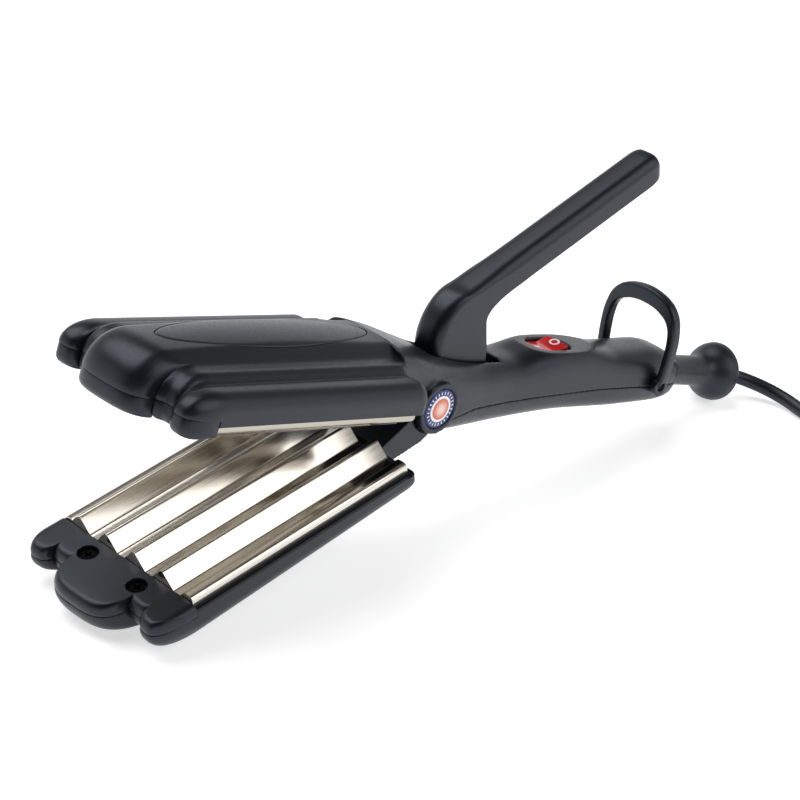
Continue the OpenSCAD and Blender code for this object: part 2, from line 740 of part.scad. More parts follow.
module hang_loop() {
    steps = 28;
    half = function (t) lookup(abs(t), [[0, 3.6], [0.3, 3.3], [0.55, 2], [1, 1.7]]);
    rings = [for (i = [0 : steps]) let (
            t = -1 + 2 * i / steps, p = loop_path(t), q = loop_path(t + 0.01), o = loop_path(t - 0.01),
            d = [q[0] - o[0], q[1] - o[1]], n = [-d[1], d[0]] / norm(d), w = half(t))
        [for (a = [22.5 : 45 : 360]) let (u = w * clamp(1.3 * cos(a), -1, 1), v = loop_edge * clamp(1.3 * sin(a), -1, 1))
            [v, p[0] + u * n[0], p[1] + u * n[1]]]];
    color(plastic) translate([loop_x, 0, loop_z]) rotate([0, -loop_lean, 0]) difference() {
        union() {
            skin(rings);
            both_sides() translate([0, -15.4, 0]) y_cylinder(4.2, 1.5, 48);
        }
        y_cylinder(loop_pin_r + 0.06, 40, 48);
    }
}

// ---------- cord swivel: neck and knob ----------
module cord_swivel() {
    front = knob_x - knob_t / 2;
    back = knob_x + knob_t / 2;
    bore = cord_d / 2 + 0.15;
    mouth = 10;                     // length of the flared mouth
    color(rubber) swivel_frame() rotate([0, 90, 0]) rotate_extrude($fn = fine) polygon(concat(
        [[bore, -11], [neck_r - 1.4, -11], [neck_r - 1.4, -8.8], [neck_r + 0.2, -8.8], [neck_r + 0.2, -5.2],
         [neck_r - 1.4, -5.2], [neck_r - 1.4, 0.5], [neck_r + 0.2, 0.5], [neck_r + 0.2, 1.6],
         [neck_r, 2], [neck_r, front - 4], [neck_r + 0.2, front - 2], [neck_r + 0.8, front - 0.3]],
        [for (a = [60 : -10 : -80]) [knob_core + (knob_r - knob_core) * cos(a), knob_x - knob_t / 2 * sin(a)]],
        [for (i = [0 : 4]) let (u = mouth * (1 - i / 4))
            [bore + 16 - sqrt(16 * 16 - u * u), back - mouth + u - (i == 0 ? 0.1 : 0)]]));
}

// ---------- lower jaw ----------
module lower_jaw_cover() {
    color(plastic) lower_jaw() difference() {
        jaw_cover(low_mid_h, low_step_h, low_side_h, low_taper, 0);
        post_holes();
        // opening for the hinge arm
        translate([-plate_rear - 10, -arm_half - fit, 0]) cube([40, 2 * arm_half + 2 * fit, arm_deep + fit]);
    }
}

// ---------- hinge arm, lever ----------
arm_deep = 13;
module arm_outline() {
    polygon([[-plate_rear - 4.5, -frame_back - 0.1], [-plate_rear + 1.5, -frame_back - 0.1], [-plate_rear + 3, -4.2],
        [-9.2, 1], [0, 0], [2, -9.2], [-8, -12.4], [-plate_rear + 4, -arm_deep], [-plate_rear - 4.5, -arm_deep]]);
}

module hinge_arm() {
    color(plastic) lower_body() difference() {
        union() {
            difference() {
                along_y(arm_half) arm_outline();
                both_sides() translate([0, -hub_half - 10, 0]) y_cylinder(boss_r + 0.6, 10);
            }
            y_cylinder(hub_r, hub_half);
        }
        y_cylinder(pin_r + 0.06, 40);
        hub_spring_room();
        // seat of the lever's root
        along_y(lever_w / 2 + 0.02) lever_root_seat();
    }
}

module lever_root_seat() {
    polygon([[-5, 30], [-5, 5.6], [5.8, 5.6], [5.8, -4.4], [2.4, -7.6], [3, -20], [30, -20], [30, 30]]);
}

// The lever is drawn in the closed jaw's direction
grip_x0 = 24;
lever_low0 = 18.6;
lever_top0 = lever_low0 + lever_t;
function lever_z(x) = lever_low0 + lever_t / 2 + (x - 48) * tan(lever_slope);
lever_stations = [[44, 0.86], [48, 1], [60, 1], [90, 1], [124, 1], [131, 0.98], [135.5, 0.9], [138.5, 0.74], [140, 0.5]];

module lever_grip() {
    // flat-sided bar with a soft groove along each side
    skin([for (s = lever_stations) let (
            x = s[0] > 100 ? s[0] + lever_len - 140 : s[0], k = s[1],
            w = lever_w / 2 * (s[0] > 130 ? 0.4 + 0.6 * k : 1), h = lever_t / 2 * k)
        [for (a = [0 : 15 : 345]) let (
                y = power(cos(a), 0.62), z = power(sin(a), 0.62),
                groove = 0.1 * exp(-pow((z - 0.1) / 0.22, 2)))
            [x, w * y * (1 - groove), lever_z(x) + h * z]]]);
}

module lever_root_outline() {
    difference() {
        union() {
            polygon(concat(
                [[8, -8], [37, -7.6], [38.7, -6]],
                [for (a = [180 : -15 : 105]) [52 + 13.3 * cos(a), 11 + 8.2 * sin(a)]],
                [[50, lever_z(50) - lever_t / 2 + 1.2], [50, lever_z(50) + lever_t / 2 - 1.2]],
                [[40, lever_z(40) + lever_t / 2 - 0.6], [33, lever_z(33) + lever_t / 2 - 0.7]],
                [for (a = [100 : 20 : 180]) [31 + 18 * cos(a), 11.5 + 17 * sin(a)]],
                [[11, 7], [8, 6]]));
        }
    }
}

module lever() {
    color(plastic) lower_body() difference() {
        union() {
            lever_grip();
            along_y(lever_w / 2 - 0.4) lever_root_outline();
            along_y(lever_w / 2) polygon([[-4.9, 8.2], [-4.9, 5.7], [5.9, 5.7], [5.9, -4.45], [2.6, -7.6],
                [3, -8], [20, -8], [20, 10], [2, 9.2]]);
        }
    }
}

stud_r = 1.5;
module lever_tip_stud() {
    color(plastic_dark) lower_body() translate([lever_len, 0, lever_z(lever_len)])
        rotate([0, 90, 0]) cylinder(r = stud_r, h = 2.4, $fn = 32);
}

// ---------- cord ----------
// Drawn in the frame of the table that the tool lies on
function world(p) = [rest_x + p[0] * cos(rest_tilt) + p[2] * sin(rest_tilt), p[1],
    rest_z - p[0] * sin(rest_tilt) + p[2] * cos(rest_tilt)];
cord_r = cord_d / 2;
dip = rest_tilt + swivel_tilt;      // slope of the swivel's axis over the table
cord_in = world([handle_len, 0, swivel_z]) - 27.8 * [cos(dip), 0, -sin(dip)];
free_at = 27.8 + knob_x - 4;        // where the cord leaves the swivel's axis
fall_len = 52;                      // plan length over which it comes down
// Plan of the lead: each step is a length and the turn made on it, left positive
lead_steps = [[free_at * cos(dip), 0], [47, -103], [50.3, 103], [78, 0]];
function walk(steps, ring, i = 0, p = [0, 0], a = 0, s = 0) = i == len(steps) ? [] : let (
        l = steps[i][0], t = steps[i][1], n = max(1, ceil(l / ring)),
        at = function (u) t == 0 ? p + u * [cos(a), sin(a)]
            : p + l / t * 180 / PI * [sin(a + t * u / l) - sin(a), cos(a) - cos(a + t * u / l)])
    concat([for (k = [i == 0 ? 0 : 1 : n]) [each at(l * k / n), s + l * k / n]],
        walk(steps, ring, i + 1, at(l), a + t, s + l));
lead_plan = walk(lead_steps, 6);
function lead_z(s) = let (
        s0 = lead_steps[0][0], t = clamp((s - s0) / fall_len, 0, 1), m = -fall_len * tan(dip),
        zf = cord_in[2] - s0 * tan(dip))
    s < s0 ? cord_in[2] - s * tan(dip)
    : zf * (2 * t * t * t - 3 * t * t + 1) + m * (t * t * t - 2 * t * t + t) + cord_r * (3 * t * t - 2 * t * t * t);
lead_path = [for (p = lead_plan) [cord_in[0] + p[0], p[1], lead_z(p[2])]];
lead_end = lead_path[len(lead_path) - 1];
lead_heading = lead_steps[1][1] + lead_steps[2][1] + lead_steps[3][1];

module tube(path, sides) {
    n = len(path);
    skin([for (i = [0 : n - 1]) let (
            d = path[min(i + 1, n - 1)] - path[max(i - 1, 0)], t = d / norm(d),
            e = cross([0, 0, 1], t), e1 = e / norm(e), e2 = cross(t, e1))
        [for (k = [0 : sides - 1]) let (b = 360 * k / sides - 90)
            path[i] + cord_r * (cos(b) * e1 + sin(b) * e2)]]);
}

module cord_lead() {
    color(rubber) tube(lead_path, 10);
}

// Two layers, wound in and then out again
coil_in = 24.6;
coil_pitch = 6.7;
coil_turns = 3.5;
coil_out = coil_in + coil_pitch * coil_turns;
layer_rise = 6.5;
coil_rings = 24;
rest_turn = 24;                     // radius of the cord's last bend, over the coil
rest_sweep = 150;
plug_len = 30;
plug_w = 25;
plug_h = 18.8;
plug_z = 2 * cord_r + layer_rise + plug_h / 2 + 0.05;
function coil_r(t) = coil_in + coil_pitch * max(0, abs(t - coil_turns - 0.25) - 0.25);
function coil_z(t) = cord_r + layer_rise * (ease(2 * (t - coil_turns)) + ease((t - coil_end + 0.36) / 0.36));
coil_end = 2 * coil_turns + 0.5;
function rest_point(b) = [-rest_turn * sin(b), 2 * coil_out - rest_turn * (1 - cos(b))];
coil_path = concat(
    [[-cord_d, 0, cord_r], [-cord_d / 2, 0, cord_r]],
    [for (i = [0 : coil_rings * coil_end]) let (t = i / coil_rings, a = 360 * t - 90)
        [coil_r(t) * cos(a), coil_out + coil_r(t) * sin(a), coil_z(t)]],
    [for (b = [10 : 10 : rest_sweep]) [each rest_point(b), cord_r + 2 * layer_rise
        + (plug_z - cord_r - 2 * layer_rise) * ease(b / rest_sweep)]]);
cord_total = lead_plan[len(lead_plan) - 1][2]
    + (coil_end * 360 * (coil_in + coil_out) / 2 + rest_sweep * rest_turn) * PI / 180;
echo(cord_length = cord_total, coil_gap = min(coil_pitch, layer_rise) - cord_d);

module at_lead_end() {
    translate([lead_end[0], lead_end[1], 0]) rotate(lead_heading) translate([cord_d, 0, 0]) children();
}

module cord_coil() {
    color(rubber) at_lead_end() tube(coil_path, 6);
}

// Plug: its axis runs on from the cord's end, and it lies on the coil
module at_plug() {
    at_lead_end() translate([each rest_point(rest_sweep), plug_z]) rotate(180 + rest_sweep) children();
}

module plug_body() {
    color(rubber) at_plug() rotate([90, 0, 90]) {
        cylinder(r1 = cord_r + 1.2, r2 = cord_r + 3, h = 18, $fn = 48);
        translate([-plug_w / 2 + 3, -plug_h / 2, 18]) cube([plug_w - 6, plug_h, plug_len]);
        translate([-plug_w / 2, -plug_h / 2 + 3, 18]) cube([plug_w, plug_h - 6, plug_len]);
        for (x = [-1, 1], y = [-1, 1]) translate([x * (plug_w / 2 - 3), y * (plug_h / 2 - 3), 18])
            cylinder(r = 3, h = plug_len, $fn = 32);
    }
}

module plug_blades() {
    color(steel) at_plug() for (y = [-6.35, 6.35]) translate([18 + plug_len, y - 0.75, -3.2]) cube([17, 1.5, 6.4]);
}

// ---------- placing every node ----------
rest() upper_jaw_cover();
rest() oval_inlay();
rest() color(plastic) nose_cap(up_cap_h, up_cap_arm);  // upper_nose_cap
rest() wave_plate();  // upper_wave_plate
rest() plate_frame();  // upper_plate_frame
rest() heater();  // upper_heater
rest() insulation();  // upper_insulation
rest() thermal_fuse();  // upper_thermal_fuse
rest() nose_screws();  // upper_nose_screws
rest() handle_upper_shell();
rest() handle_lower_shell();
rest() handle_screws();
rest() pivot_pin();
rest() badge();  // near_badge
rest() mirror([0, 1, 0]) badge();  // far_badge
rest() torsion_spring();
rest() switch_body();
rest() rocker();
rest() circuit_board();
rest() cord_anchor();
rest() loop_pins();
rest() hang_loop();
rest() cord_swivel();
rest() lower_jaw_cover();
rest() lower_jaw() color(plastic) nose_cap(low_cap_h, 0);  // lower_nose_cap
rest() lower_jaw() wave_plate();  // lower_wave_plate
rest() lower_jaw() plate_frame();  // lower_plate_frame
rest() lower_jaw() heater();  // lower_heater
rest() lower_jaw() insulation();  // lower_insulation
rest() lower_jaw() thermal_fuse();  // lower_thermal_fuse
rest() lower_jaw() nose_screws();  // lower_nose_screws
rest() hinge_arm();
rest() lever();
rest() lever_tip_stud();
cord_lead();
cord_coil();
plug_body();
plug_blades();
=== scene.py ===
"""Hair crimper with wave plates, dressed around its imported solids.

Lengths are millimetres in the tool's own frame (pivot at the origin, +X along the handle, +Z up) until
stand(), swing() or turn_over() puts them on the table in metres. Jaws are drawn as heights h over the
plane where the closed jaws meet.
"""

import json
import math

import bmesh
import bpy
import numpy as np
from mathutils import Matrix, Vector


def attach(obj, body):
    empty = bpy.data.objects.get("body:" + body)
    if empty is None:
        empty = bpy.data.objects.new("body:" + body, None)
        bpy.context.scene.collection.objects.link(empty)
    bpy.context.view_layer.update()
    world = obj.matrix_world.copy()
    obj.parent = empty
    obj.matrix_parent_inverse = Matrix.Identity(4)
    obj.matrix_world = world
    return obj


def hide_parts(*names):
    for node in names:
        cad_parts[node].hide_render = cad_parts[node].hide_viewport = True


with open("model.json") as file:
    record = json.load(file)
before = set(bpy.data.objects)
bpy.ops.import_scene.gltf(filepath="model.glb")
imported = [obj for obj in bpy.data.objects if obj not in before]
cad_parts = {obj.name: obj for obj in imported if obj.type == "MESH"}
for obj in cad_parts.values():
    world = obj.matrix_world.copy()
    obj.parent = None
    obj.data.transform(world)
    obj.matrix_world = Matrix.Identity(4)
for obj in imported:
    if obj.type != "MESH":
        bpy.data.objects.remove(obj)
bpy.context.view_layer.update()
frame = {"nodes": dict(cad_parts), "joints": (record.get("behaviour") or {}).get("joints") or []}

MM = 0.001
JOINTS = {j["name"]: j for j in frame["joints"]}
HANDLE = "handle_and_upper_jaw"
LOWER = "lower_jaw"

# The tool's stand on the table, read from its joints
OPEN_ANGLE = math.radians(25.8)
SWIVEL_TILT = math.radians(3)
HINGE = np.array(JOINTS["jaw_hinge"]["pos_m"])
SWIVEL_AXIS = JOINTS["cord_swivel_turn"]["axis"]
DIP = math.atan2(-SWIVEL_AXIS[2], SWIVEL_AXIS[0])
TILT = DIP - SWIVEL_TILT


def turned(p, angle):
    """Points turned about the Y axis, nose down for a positive angle."""
    c, s = math.cos(angle), math.sin(angle)
    return np.stack([p[..., 0] * c + p[..., 2] * s, p[..., 1], p[..., 2] * c - p[..., 0] * s], -1)


def stand(p):
    """Tool frame, in mm, to the table, in metres."""
    return turned(np.asarray(p, float), TILT) * MM + HINGE


def swing(p):
    """A piece of the lower body, drawn closed, to its open place on the table."""
    return stand(turned(np.asarray(p, float), -OPEN_ANGLE))


def turn_over(p):
    """A lower jaw piece drawn as heights, turned over and swung open."""
    return swing(np.asarray(p, float) * (1, -1, -1))


def table(p):
    """Points already on the table, from mm to metres."""
    return np.asarray(p, float) * MM


# ---------- camera ----------
# Right, down and forward of the view in the tool frame, and where it stands
VIEW = np.array([[0.65658, -0.70184, 0.27626], [-0.03709, -0.39587, -0.91756], [0.75334, 0.5922, -0.28596]])
VIEW_PLACE = (-763.8, -601.9, 285.2)
right, down, ahead = (turned(row, TILT) for row in VIEW)
camera_data = bpy.data.cameras.new("camera")
camera_data.sensor_width = 36
camera_data.lens = 121.5
camera_data.clip_start = 0.05
camera_data.clip_end = 50
camera = bpy.data.objects.new("camera", camera_data)
axes = Matrix([right, -down, -ahead]).transposed().to_4x4()
camera.matrix_world = Matrix.Translation(Vector(stand(VIEW_PLACE))) @ axes
bpy.context.scene.collection.objects.link(camera)
bpy.context.scene.camera = camera


# ---------- materials ----------
def linear(code):
    """An sRGB hex colour as Blender's linear one."""
    parts = [int(code[i : i + 2], 16) / 255 for i in (1, 3, 5)]
    return (*[c / 12.92 if c <= 0.04045 else ((c + 0.055) / 1.055) ** 2.4 for c in parts], 1)


def add(tree, kind, settings=None, **inputs):
    """One shader node with its settings and its inputs, each a value or a socket to link."""
    node = tree.nodes.new("ShaderNode" + kind)
    for key, value in (settings or {}).items():
        setattr(node, key, value)
    for key, value in inputs.items():
        socket = node.inputs[key.replace("_", " ")]
        if isinstance(value, bpy.types.NodeSocket):
            tree.links.new(value, socket)
        else:
            socket.default_value = value
    return node


def material(name):
    """A new material with an empty node tree."""
    made = bpy.data.materials.new(name)
    made.use_nodes = True
    made.node_tree.nodes.clear()
    return made, made.node_tree


def moulded_abs(name, dark, light, rough, grain, height, shine=0.44):
    """ABS from a spark-eroded mould: an even, very fine pebble that breaks up the gloss.
    The real grain is about 0.15 mm; it is drawn coarser so that it shows. The pits shade each other,
    so the plastic shines less than a smooth piece of the same ABS."""
    made, tree = material(name)
    at = add(tree, "TexCoord").outputs["Object"]
    cloud = add(tree, "TexNoise", Vector=at, Scale=1 / 0.022, Detail=3.0, Roughness=0.5)
    pebble = add(tree, "TexNoise", Vector=at, Scale=1 / grain, Detail=2.0, Roughness=0.6)
    colour = add(tree, "MixRGB", Fac=cloud.outputs["Fac"], Color1=linear(dark), Color2=linear(light))
    gloss = add(tree, "MapRange", Value=pebble.outputs["Fac"], From_Min=0.3, From_Max=0.7,
                To_Min=rough - 0.05, To_Max=rough + 0.07)
    bump = add(tree, "Bump", Height=pebble.outputs["Fac"], Strength=0.5, Distance=height)
    moulded = add(tree, "BsdfPrincipled", Base_Color=colour.outputs[0], Roughness=gloss.outputs[0],
                  IOR=1.53, Specular_IOR_Level=shine, Specular_Tint=linear("#dfeafa"),
                  Normal=bump.outputs[0])
    add(tree, "OutputMaterial", Surface=moulded.outputs[0])
    return made


def rolled_metal(name, dark, light, rough, along, across, height, lean=0.0):
    """Rolled or drawn metal: fine lines along its length, which leans down by an angle, and a slightly
    uneven polish. Real lines are about 0.05 mm apart; they are drawn coarser so that they show."""
    made, tree = material(name)
    at = add(tree, "TexCoord").outputs["Object"]
    lines = add(tree, "Mapping", {"vector_type": "TEXTURE"}, Vector=at, Rotation=(0, lean, 0),
                Scale=(along, across, across))
    streak = add(tree, "TexNoise", Vector=lines.outputs[0], Scale=1.0, Detail=3.0, Roughness=0.55)
    colour = add(tree, "MixRGB", Fac=streak.outputs["Fac"], Color1=linear(dark), Color2=linear(light))
    gloss = add(tree, "MapRange", Value=streak.outputs["Fac"], From_Min=0.3, From_Max=0.7,
                To_Min=rough * 0.8, To_Max=rough * 1.25)
    bump = add(tree, "Bump", Height=streak.outputs["Fac"], Strength=0.4, Distance=height)
    metal = add(tree, "BsdfPrincipled", Base_Color=colour.outputs[0], Metallic=1.0,
                Roughness=gloss.outputs[0], Normal=bump.outputs[0])
    add(tree, "OutputMaterial", Surface=metal.outputs[0])
    return made


def smooth_plastic(name, dark, light, rough, patch=0.012):
    """Plastic from a polished mould: smooth, with a faint cloudiness in colour and gloss."""
    made, tree = material(name)
    at = add(tree, "TexCoord").outputs["Object"]
    cloud = add(tree, "TexNoise", Vector=at, Scale=1 / patch, Detail=2.0)
    colour = add(tree, "MixRGB", Fac=cloud.outputs["Fac"], Color1=linear(dark), Color2=linear(light))
    gloss = add(tree, "MapRange", Value=cloud.outputs["Fac"], To_Min=rough * 0.85, To_Max=rough * 1.15)
    plastic = add(tree, "BsdfPrincipled", Base_Color=colour.outputs[0], Roughness=gloss.outputs[0],
                  IOR=1.5)
    add(tree, "OutputMaterial", Surface=plastic.outputs[0])
    return made


def print_with_painted_highlight(name, centre, edge, middle, radius):
    """Screen print under clear resin: a colour that fades to pale in the middle, a painted highlight of the
    dome, under a gloss.
    """
    made, tree = material(name)
    at = add(tree, "TexCoord").outputs["Object"]
    reach = add(tree, "VectorMath", {"operation": "DISTANCE"}, Vector=at)
    reach.inputs[1].default_value = centre
    fade = add(tree, "MapRange", {"interpolation_type": "SMOOTHSTEP"}, Value=reach.outputs["Value"],
               From_Min=radius * 0.15, From_Max=radius * 0.95)
    colour = add(tree, "MixRGB", Fac=fade.outputs[0], Color1=linear(middle), Color2=linear(edge))
    resin = add(tree, "BsdfPrincipled", Base_Color=colour.outputs[0], Roughness=0.18, IOR=1.5)
    add(tree, "OutputMaterial", Surface=resin.outputs[0])
    return made


charcoal_abs = moulded_abs("charcoal_abs", "#0f1116", "#14171d", 0.34, 0.0007, 0.000015)
black_abs = moulded_abs("black_abs", "#0c0d10", "#121317", 0.34, 0.0007, 0.000015)
glass_filled_nylon = moulded_abs("glass_filled_nylon", "#0c0c0e", "#131315", 0.42, 0.0011, 0.00003)
soft_pvc = moulded_abs("soft_pvc", "#14161a", "#1a1c21", 0.4, 0.0009, 0.000015)
# Both plates are the same metal. The upper one's colour is set darker: painted shade, for the darker room
# that it faces and reflects
shaded_upper_nickel = rolled_metal("nickel_plated_aluminium_upper_painted_shade", "#a8a297", "#bbb5ab", 0.15, 0.06, 0.0003,
                            0.000001, TILT)
lower_nickel = rolled_metal("nickel_plated_aluminium_lower", "#cfc8bd", "#e2dcd2", 0.15, 0.06, 0.0003,
                            0.000001, TILT - OPEN_ANGLE)
zinc_steel = rolled_metal("zinc_plated_steel", "#9c9fa3", "#c3c6ca", 0.28, 0.002, 0.0009, 0.00001)
black_steel = rolled_metal("black_oxide_steel", "#050506", "#0a0a0b", 0.5, 0.002, 0.001, 0.00001)
mica_sheet = smooth_plastic("mica_sheet", "#a58f68", "#c4ae83", 0.35, 0.004)
board_laminate = smooth_plastic("board_laminate", "#275c3a", "#34754a", 0.4, 0.003)
red_acrylic = smooth_plastic("red_acrylic", "#c3181d", "#d6282c", 0.16)
# A darker copy of the red acrylic for the rocker's sides and underside: painted shade
red_acrylic_painted_side_shade = smooth_plastic("red_acrylic_painted_side_shade", "#b80d12", "#cb171c", 0.2)
white_print = smooth_plastic("white_pad_print", "#e9e9ec", "#f6f6f8", 0.4)
navy_print = smooth_plastic("navy_print", "#0a2463", "#123079", 0.22)
pale_print = smooth_plastic("pale_print", "#eeeef2", "#fafafc", 0.22)


# ---------- making pieces ----------
def settle(obj, sharp):
    """Cleans a mesh, turns its faces outwards and shades it smooth up to an edge angle."""
    work = bmesh.new()
    work.from_mesh(obj.data)
    bmesh.ops.remove_doubles(work, verts=work.verts, dist=2e-6)
    bmesh.ops.dissolve_degenerate(work, edges=work.edges, dist=2e-6)
    bmesh.ops.recalc_face_normals(work, faces=work.faces)
    work.to_mesh(obj.data)
    work.free()
    obj.data.shade_smooth()
    obj.data.set_sharp_from_angle(angle=math.radians(sharp))
    return obj


def piece(name, points, faces, look=None, sharp=35):
    """A cleaned piece from points in metres on the table."""
    mesh = bpy.data.meshes.new(name)
    mesh.from_pydata(np.asarray(points).tolist(), [], faces)
    obj = bpy.data.objects.new(name, mesh)
    bpy.context.scene.collection.objects.link(obj)
    if look:
        mesh.materials.append(look)
    return settle(obj, sharp)


def skin(rings, ends=True):
    """Faces between rings of equal length, closed at both ends."""
    m, n = len(rings), len(rings[0])
    k = np.arange((m - 1) * n).reshape(m - 1, n)
    faces = np.stack([k, np.roll(k, -1, 1), np.roll(k, -1, 1) + n, k + n], -1).reshape(-1, 4).tolist()
    if ends:
        faces += [list(range(n))[::-1], list(range((m - 1) * n, m * n))]
    return np.concatenate([np.asarray(r, float) for r in rings]), faces


def loft(name, rings, put, look=None, sharp=35):
    """A closed piece through rings in mm, which put() lays on the table."""
    points, faces = skin(rings)
    return piece(name, put(points), faces, look, sharp)


def prism(name, outline, low, high, put, look=None, sharp=35):
    """An (x, z) outline drawn out along Y."""
    outline = np.asarray(outline, float)
    rings = [np.stack([outline[:, 0], np.full(len(outline), y), outline[:, 1]], -1) for y in (low, high)]
    return loft(name, rings, put, look, sharp)


def around(count):
    """Angles spread evenly around a circle."""
    return np.arange(count) * 2 * math.pi / count


def drum(name, radius, low, high, put, sides=72):
    """A round bar about the Y axis."""
    a = around(sides)
    return prism(name, np.stack([radius * np.cos(a), radius * np.sin(a)], -1), low, high, put)


def apply_all(obj):
    """Turns a piece's modifiers into plain mesh."""
    graph = bpy.context.evaluated_depsgraph_get()
    mesh = bpy.data.meshes.new_from_object(obj.evaluated_get(graph))
    old, obj.data = obj.data, mesh
    obj.modifiers.clear()
    bpy.data.meshes.remove(old)
    return obj


def carve(obj, cutters, operation="DIFFERENCE"):
    """Cuts the cutters from a piece, or joins them to it, and removes them."""
    for cutter in cutters:
        cut = obj.modifiers.new("cut", "BOOLEAN")
        cut.operation = operation
        cut.solver = "EXACT"
        cut.object = cutter
    apply_all(obj)
    for cutter in cutters:
        bpy.data.objects.remove(cutter)
    return obj


def melt(obj, grid, passes, share=1.0):
    """Rounds every edge a little, as a mould does: an even grid of faces, relaxed."""
    even = obj.modifiers.new("even", "REMESH")
    even.mode = "VOXEL"
    even.voxel_size = grid * MM
    relax = obj.modifiers.new("relax", "SMOOTH")
    relax.iterations = passes
    if share < 1:
        obj.modifiers.new("fewer", "DECIMATE").ratio = share
    apply_all(obj)
    return settle(obj, 60)


def finish_piece(obj, body, slot, *nodes, look=None):
    """Gives a piece its body, the solids that it replaces and, if asked, one look all over. Its slot is not
    used.
    """
    if look:
        obj.data.materials.clear()
        obj.data.materials.append(look)
    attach(obj, body)
    if nodes:
        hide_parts(*nodes)
    return obj


# ---------- shapes shared with the solids ----------
PLATE_REAR, PLATE_FRONT = -31.0, -134.0
PLATE_MID, PLATE_LEN = (PLATE_REAR + PLATE_FRONT) / 2, PLATE_REAR - PLATE_FRONT
JAW_HALF = 37.0
NOSE_MID, NOSE_SIDE, NOSE_BASE = 26.0, 18.5, 12.0
MID_HALF, STEP_HALF, EDGE_R = 13.0, 24.0, 5.0
WALL, WALL_H, SEAM_H = 1.8, 5.8, 8.0
FRAME_HALF = JAW_HALF - WALL
# Edges of the nose's lobes across the jaw
MID_FOOT, STEP_START = MID_HALF + 3.2, MID_HALF + 2.8
STEP_END, SIDE_START = STEP_HALF + 0.6, STEP_HALF + 0.8


def ease(t):
    """From 0 to 1 with a soft start and end."""
    t = np.clip(t, 0, 1)
    return t * t * (3 - 2 * t)


def dome(t):
    """Height of a quarter circle, from 1 at t = 0 to 0 at t = 1."""
    return np.sqrt(np.clip(1 - np.asarray(t, float) ** 2, 0, None))


def power(v, n):
    """A power that keeps the sign: it squares off a circle for n under 1."""
    return np.sign(v) * np.abs(v) ** n


def lobe(y, middle, half, reach):
    """A blunt lobe across the jaw, reach long at its middle."""
    t = np.clip(np.abs(y - middle) / half, 0, 1)
    return reach * (1 - t**3) ** (1 / 3)


STEP_MIDDLE = (MID_FOOT + STEP_END) / 2
SIDE_MIDDLE = (SIDE_START + JAW_HALF) / 2


def nose_reach(y):
    """How far the nose runs past the plates at a distance y from the middle."""
    v = abs(y)
    return NOSE_BASE * dome(max(0, v - JAW_HALF + 6) / 6) + max(
        lobe(v, 0, MID_FOOT, NOSE_MID - NOSE_BASE),
        lobe(v, STEP_MIDDLE, STEP_MIDDLE - STEP_START, 2.4),
        lobe(v, SIDE_MIDDLE, JAW_HALF - SIDE_MIDDLE, NOSE_SIDE - NOSE_BASE))


class Jaw:
    """What tells one jaw from the other. In mm: the heights of its middle, step and side ridges, how far
    the middle ridge bows down to its ends, how far the top falls to the rear (taper), how far the cap
    reaches back past the plate's front (arm), the height of the cap's face and how far the outer lobes
    are tucked back. As a factor: the length of the nose (stretch)."""

    def __init__(self, middle, step, side, bow, taper, arm, face, stretch, tuck):
        self.middle, self.step, self.side = middle, step, side
        self.bow, self.taper = bow, taper
        self.arm, self.face = arm, face
        self.stretch, self.tuck = stretch, tuck

    def reach(self, y):
        """How far this jaw's nose runs past its plate."""
        return self.stretch * nose_reach(y) - self.tuck * ease((abs(y) - MID_HALF - 3) / 4)

    def ridge(self, y):
        """Height across the jaw over the middle of the plates."""
        v = abs(y)
        rise = self.middle - self.step
        step = (self.step - self.side) * ease((STEP_HALF + 2.6 - v) / 4.6)
        middle = rise * ease((MID_HALF + 5.5 - v) / 8.5)
        crown = 0.22 * rise * min(v / MID_HALF, 1) ** 2
        groove = 0.45 * math.exp(-(((v - STEP_HALF - 2.2) / 1.5) ** 2))
        fall = 0.5 * (max(0, v - 29.5) / 4.5) ** 2
        over = (v - JAW_HALF + EDGE_R) / EDGE_R
        edge = EDGE_R * (1 - dome(over)) if over > 0 else 0
        return self.side + step + middle - crown - groove - fall - edge

    def top(self, x, y):
        """Height of the cover's top, before its nose and rear edge turn down."""
        along = (x - PLATE_MID) / (PLATE_LEN / 2 + NOSE_MID)
        bow = self.bow * ease((MID_HALF + 6 - abs(y)) / 9) * along**2
        return self.ridge(y) - bow - self.taper * np.clip((x - PLATE_FRONT) / PLATE_LEN, 0, 1)


UPPER_JAW = Jaw(middle=24.9, step=20.4, side=17.9, bow=2.4, taper=0, arm=1.2, face=0.9,
                stretch=0.8, tuck=2.2)
LOWER_JAW = Jaw(middle=20.6, step=18.8, side=17.8, bow=1.6, taper=3.4, arm=0, face=3.0,
                stretch=1.0, tuck=0)


def stations():
    """Places across a jaw: even, and close together where the nose or the walls turn sharply."""
    marks = [STEP_START, MID_FOOT, STEP_END, SIDE_START, FRAME_HALF]
    near = [0.01, 0.05, 0.15, 0.35, 0.6]
    places = set(np.round(np.arange(0, 36, 0.75), 3)) | {36.0, 36.3, 36.55, 36.75, 36.88, 36.96, 37.0}
    for mark in marks:
        places |= {round(mark + s * d, 3) for d in near for s in (-1, 1)}
    half = sorted(places)
    kept = [half[0]]
    for v in half[1:]:
        if v - kept[-1] > 0.015:
            kept.append(v)
    return np.array([-v for v in kept[:0:-1]] + kept)


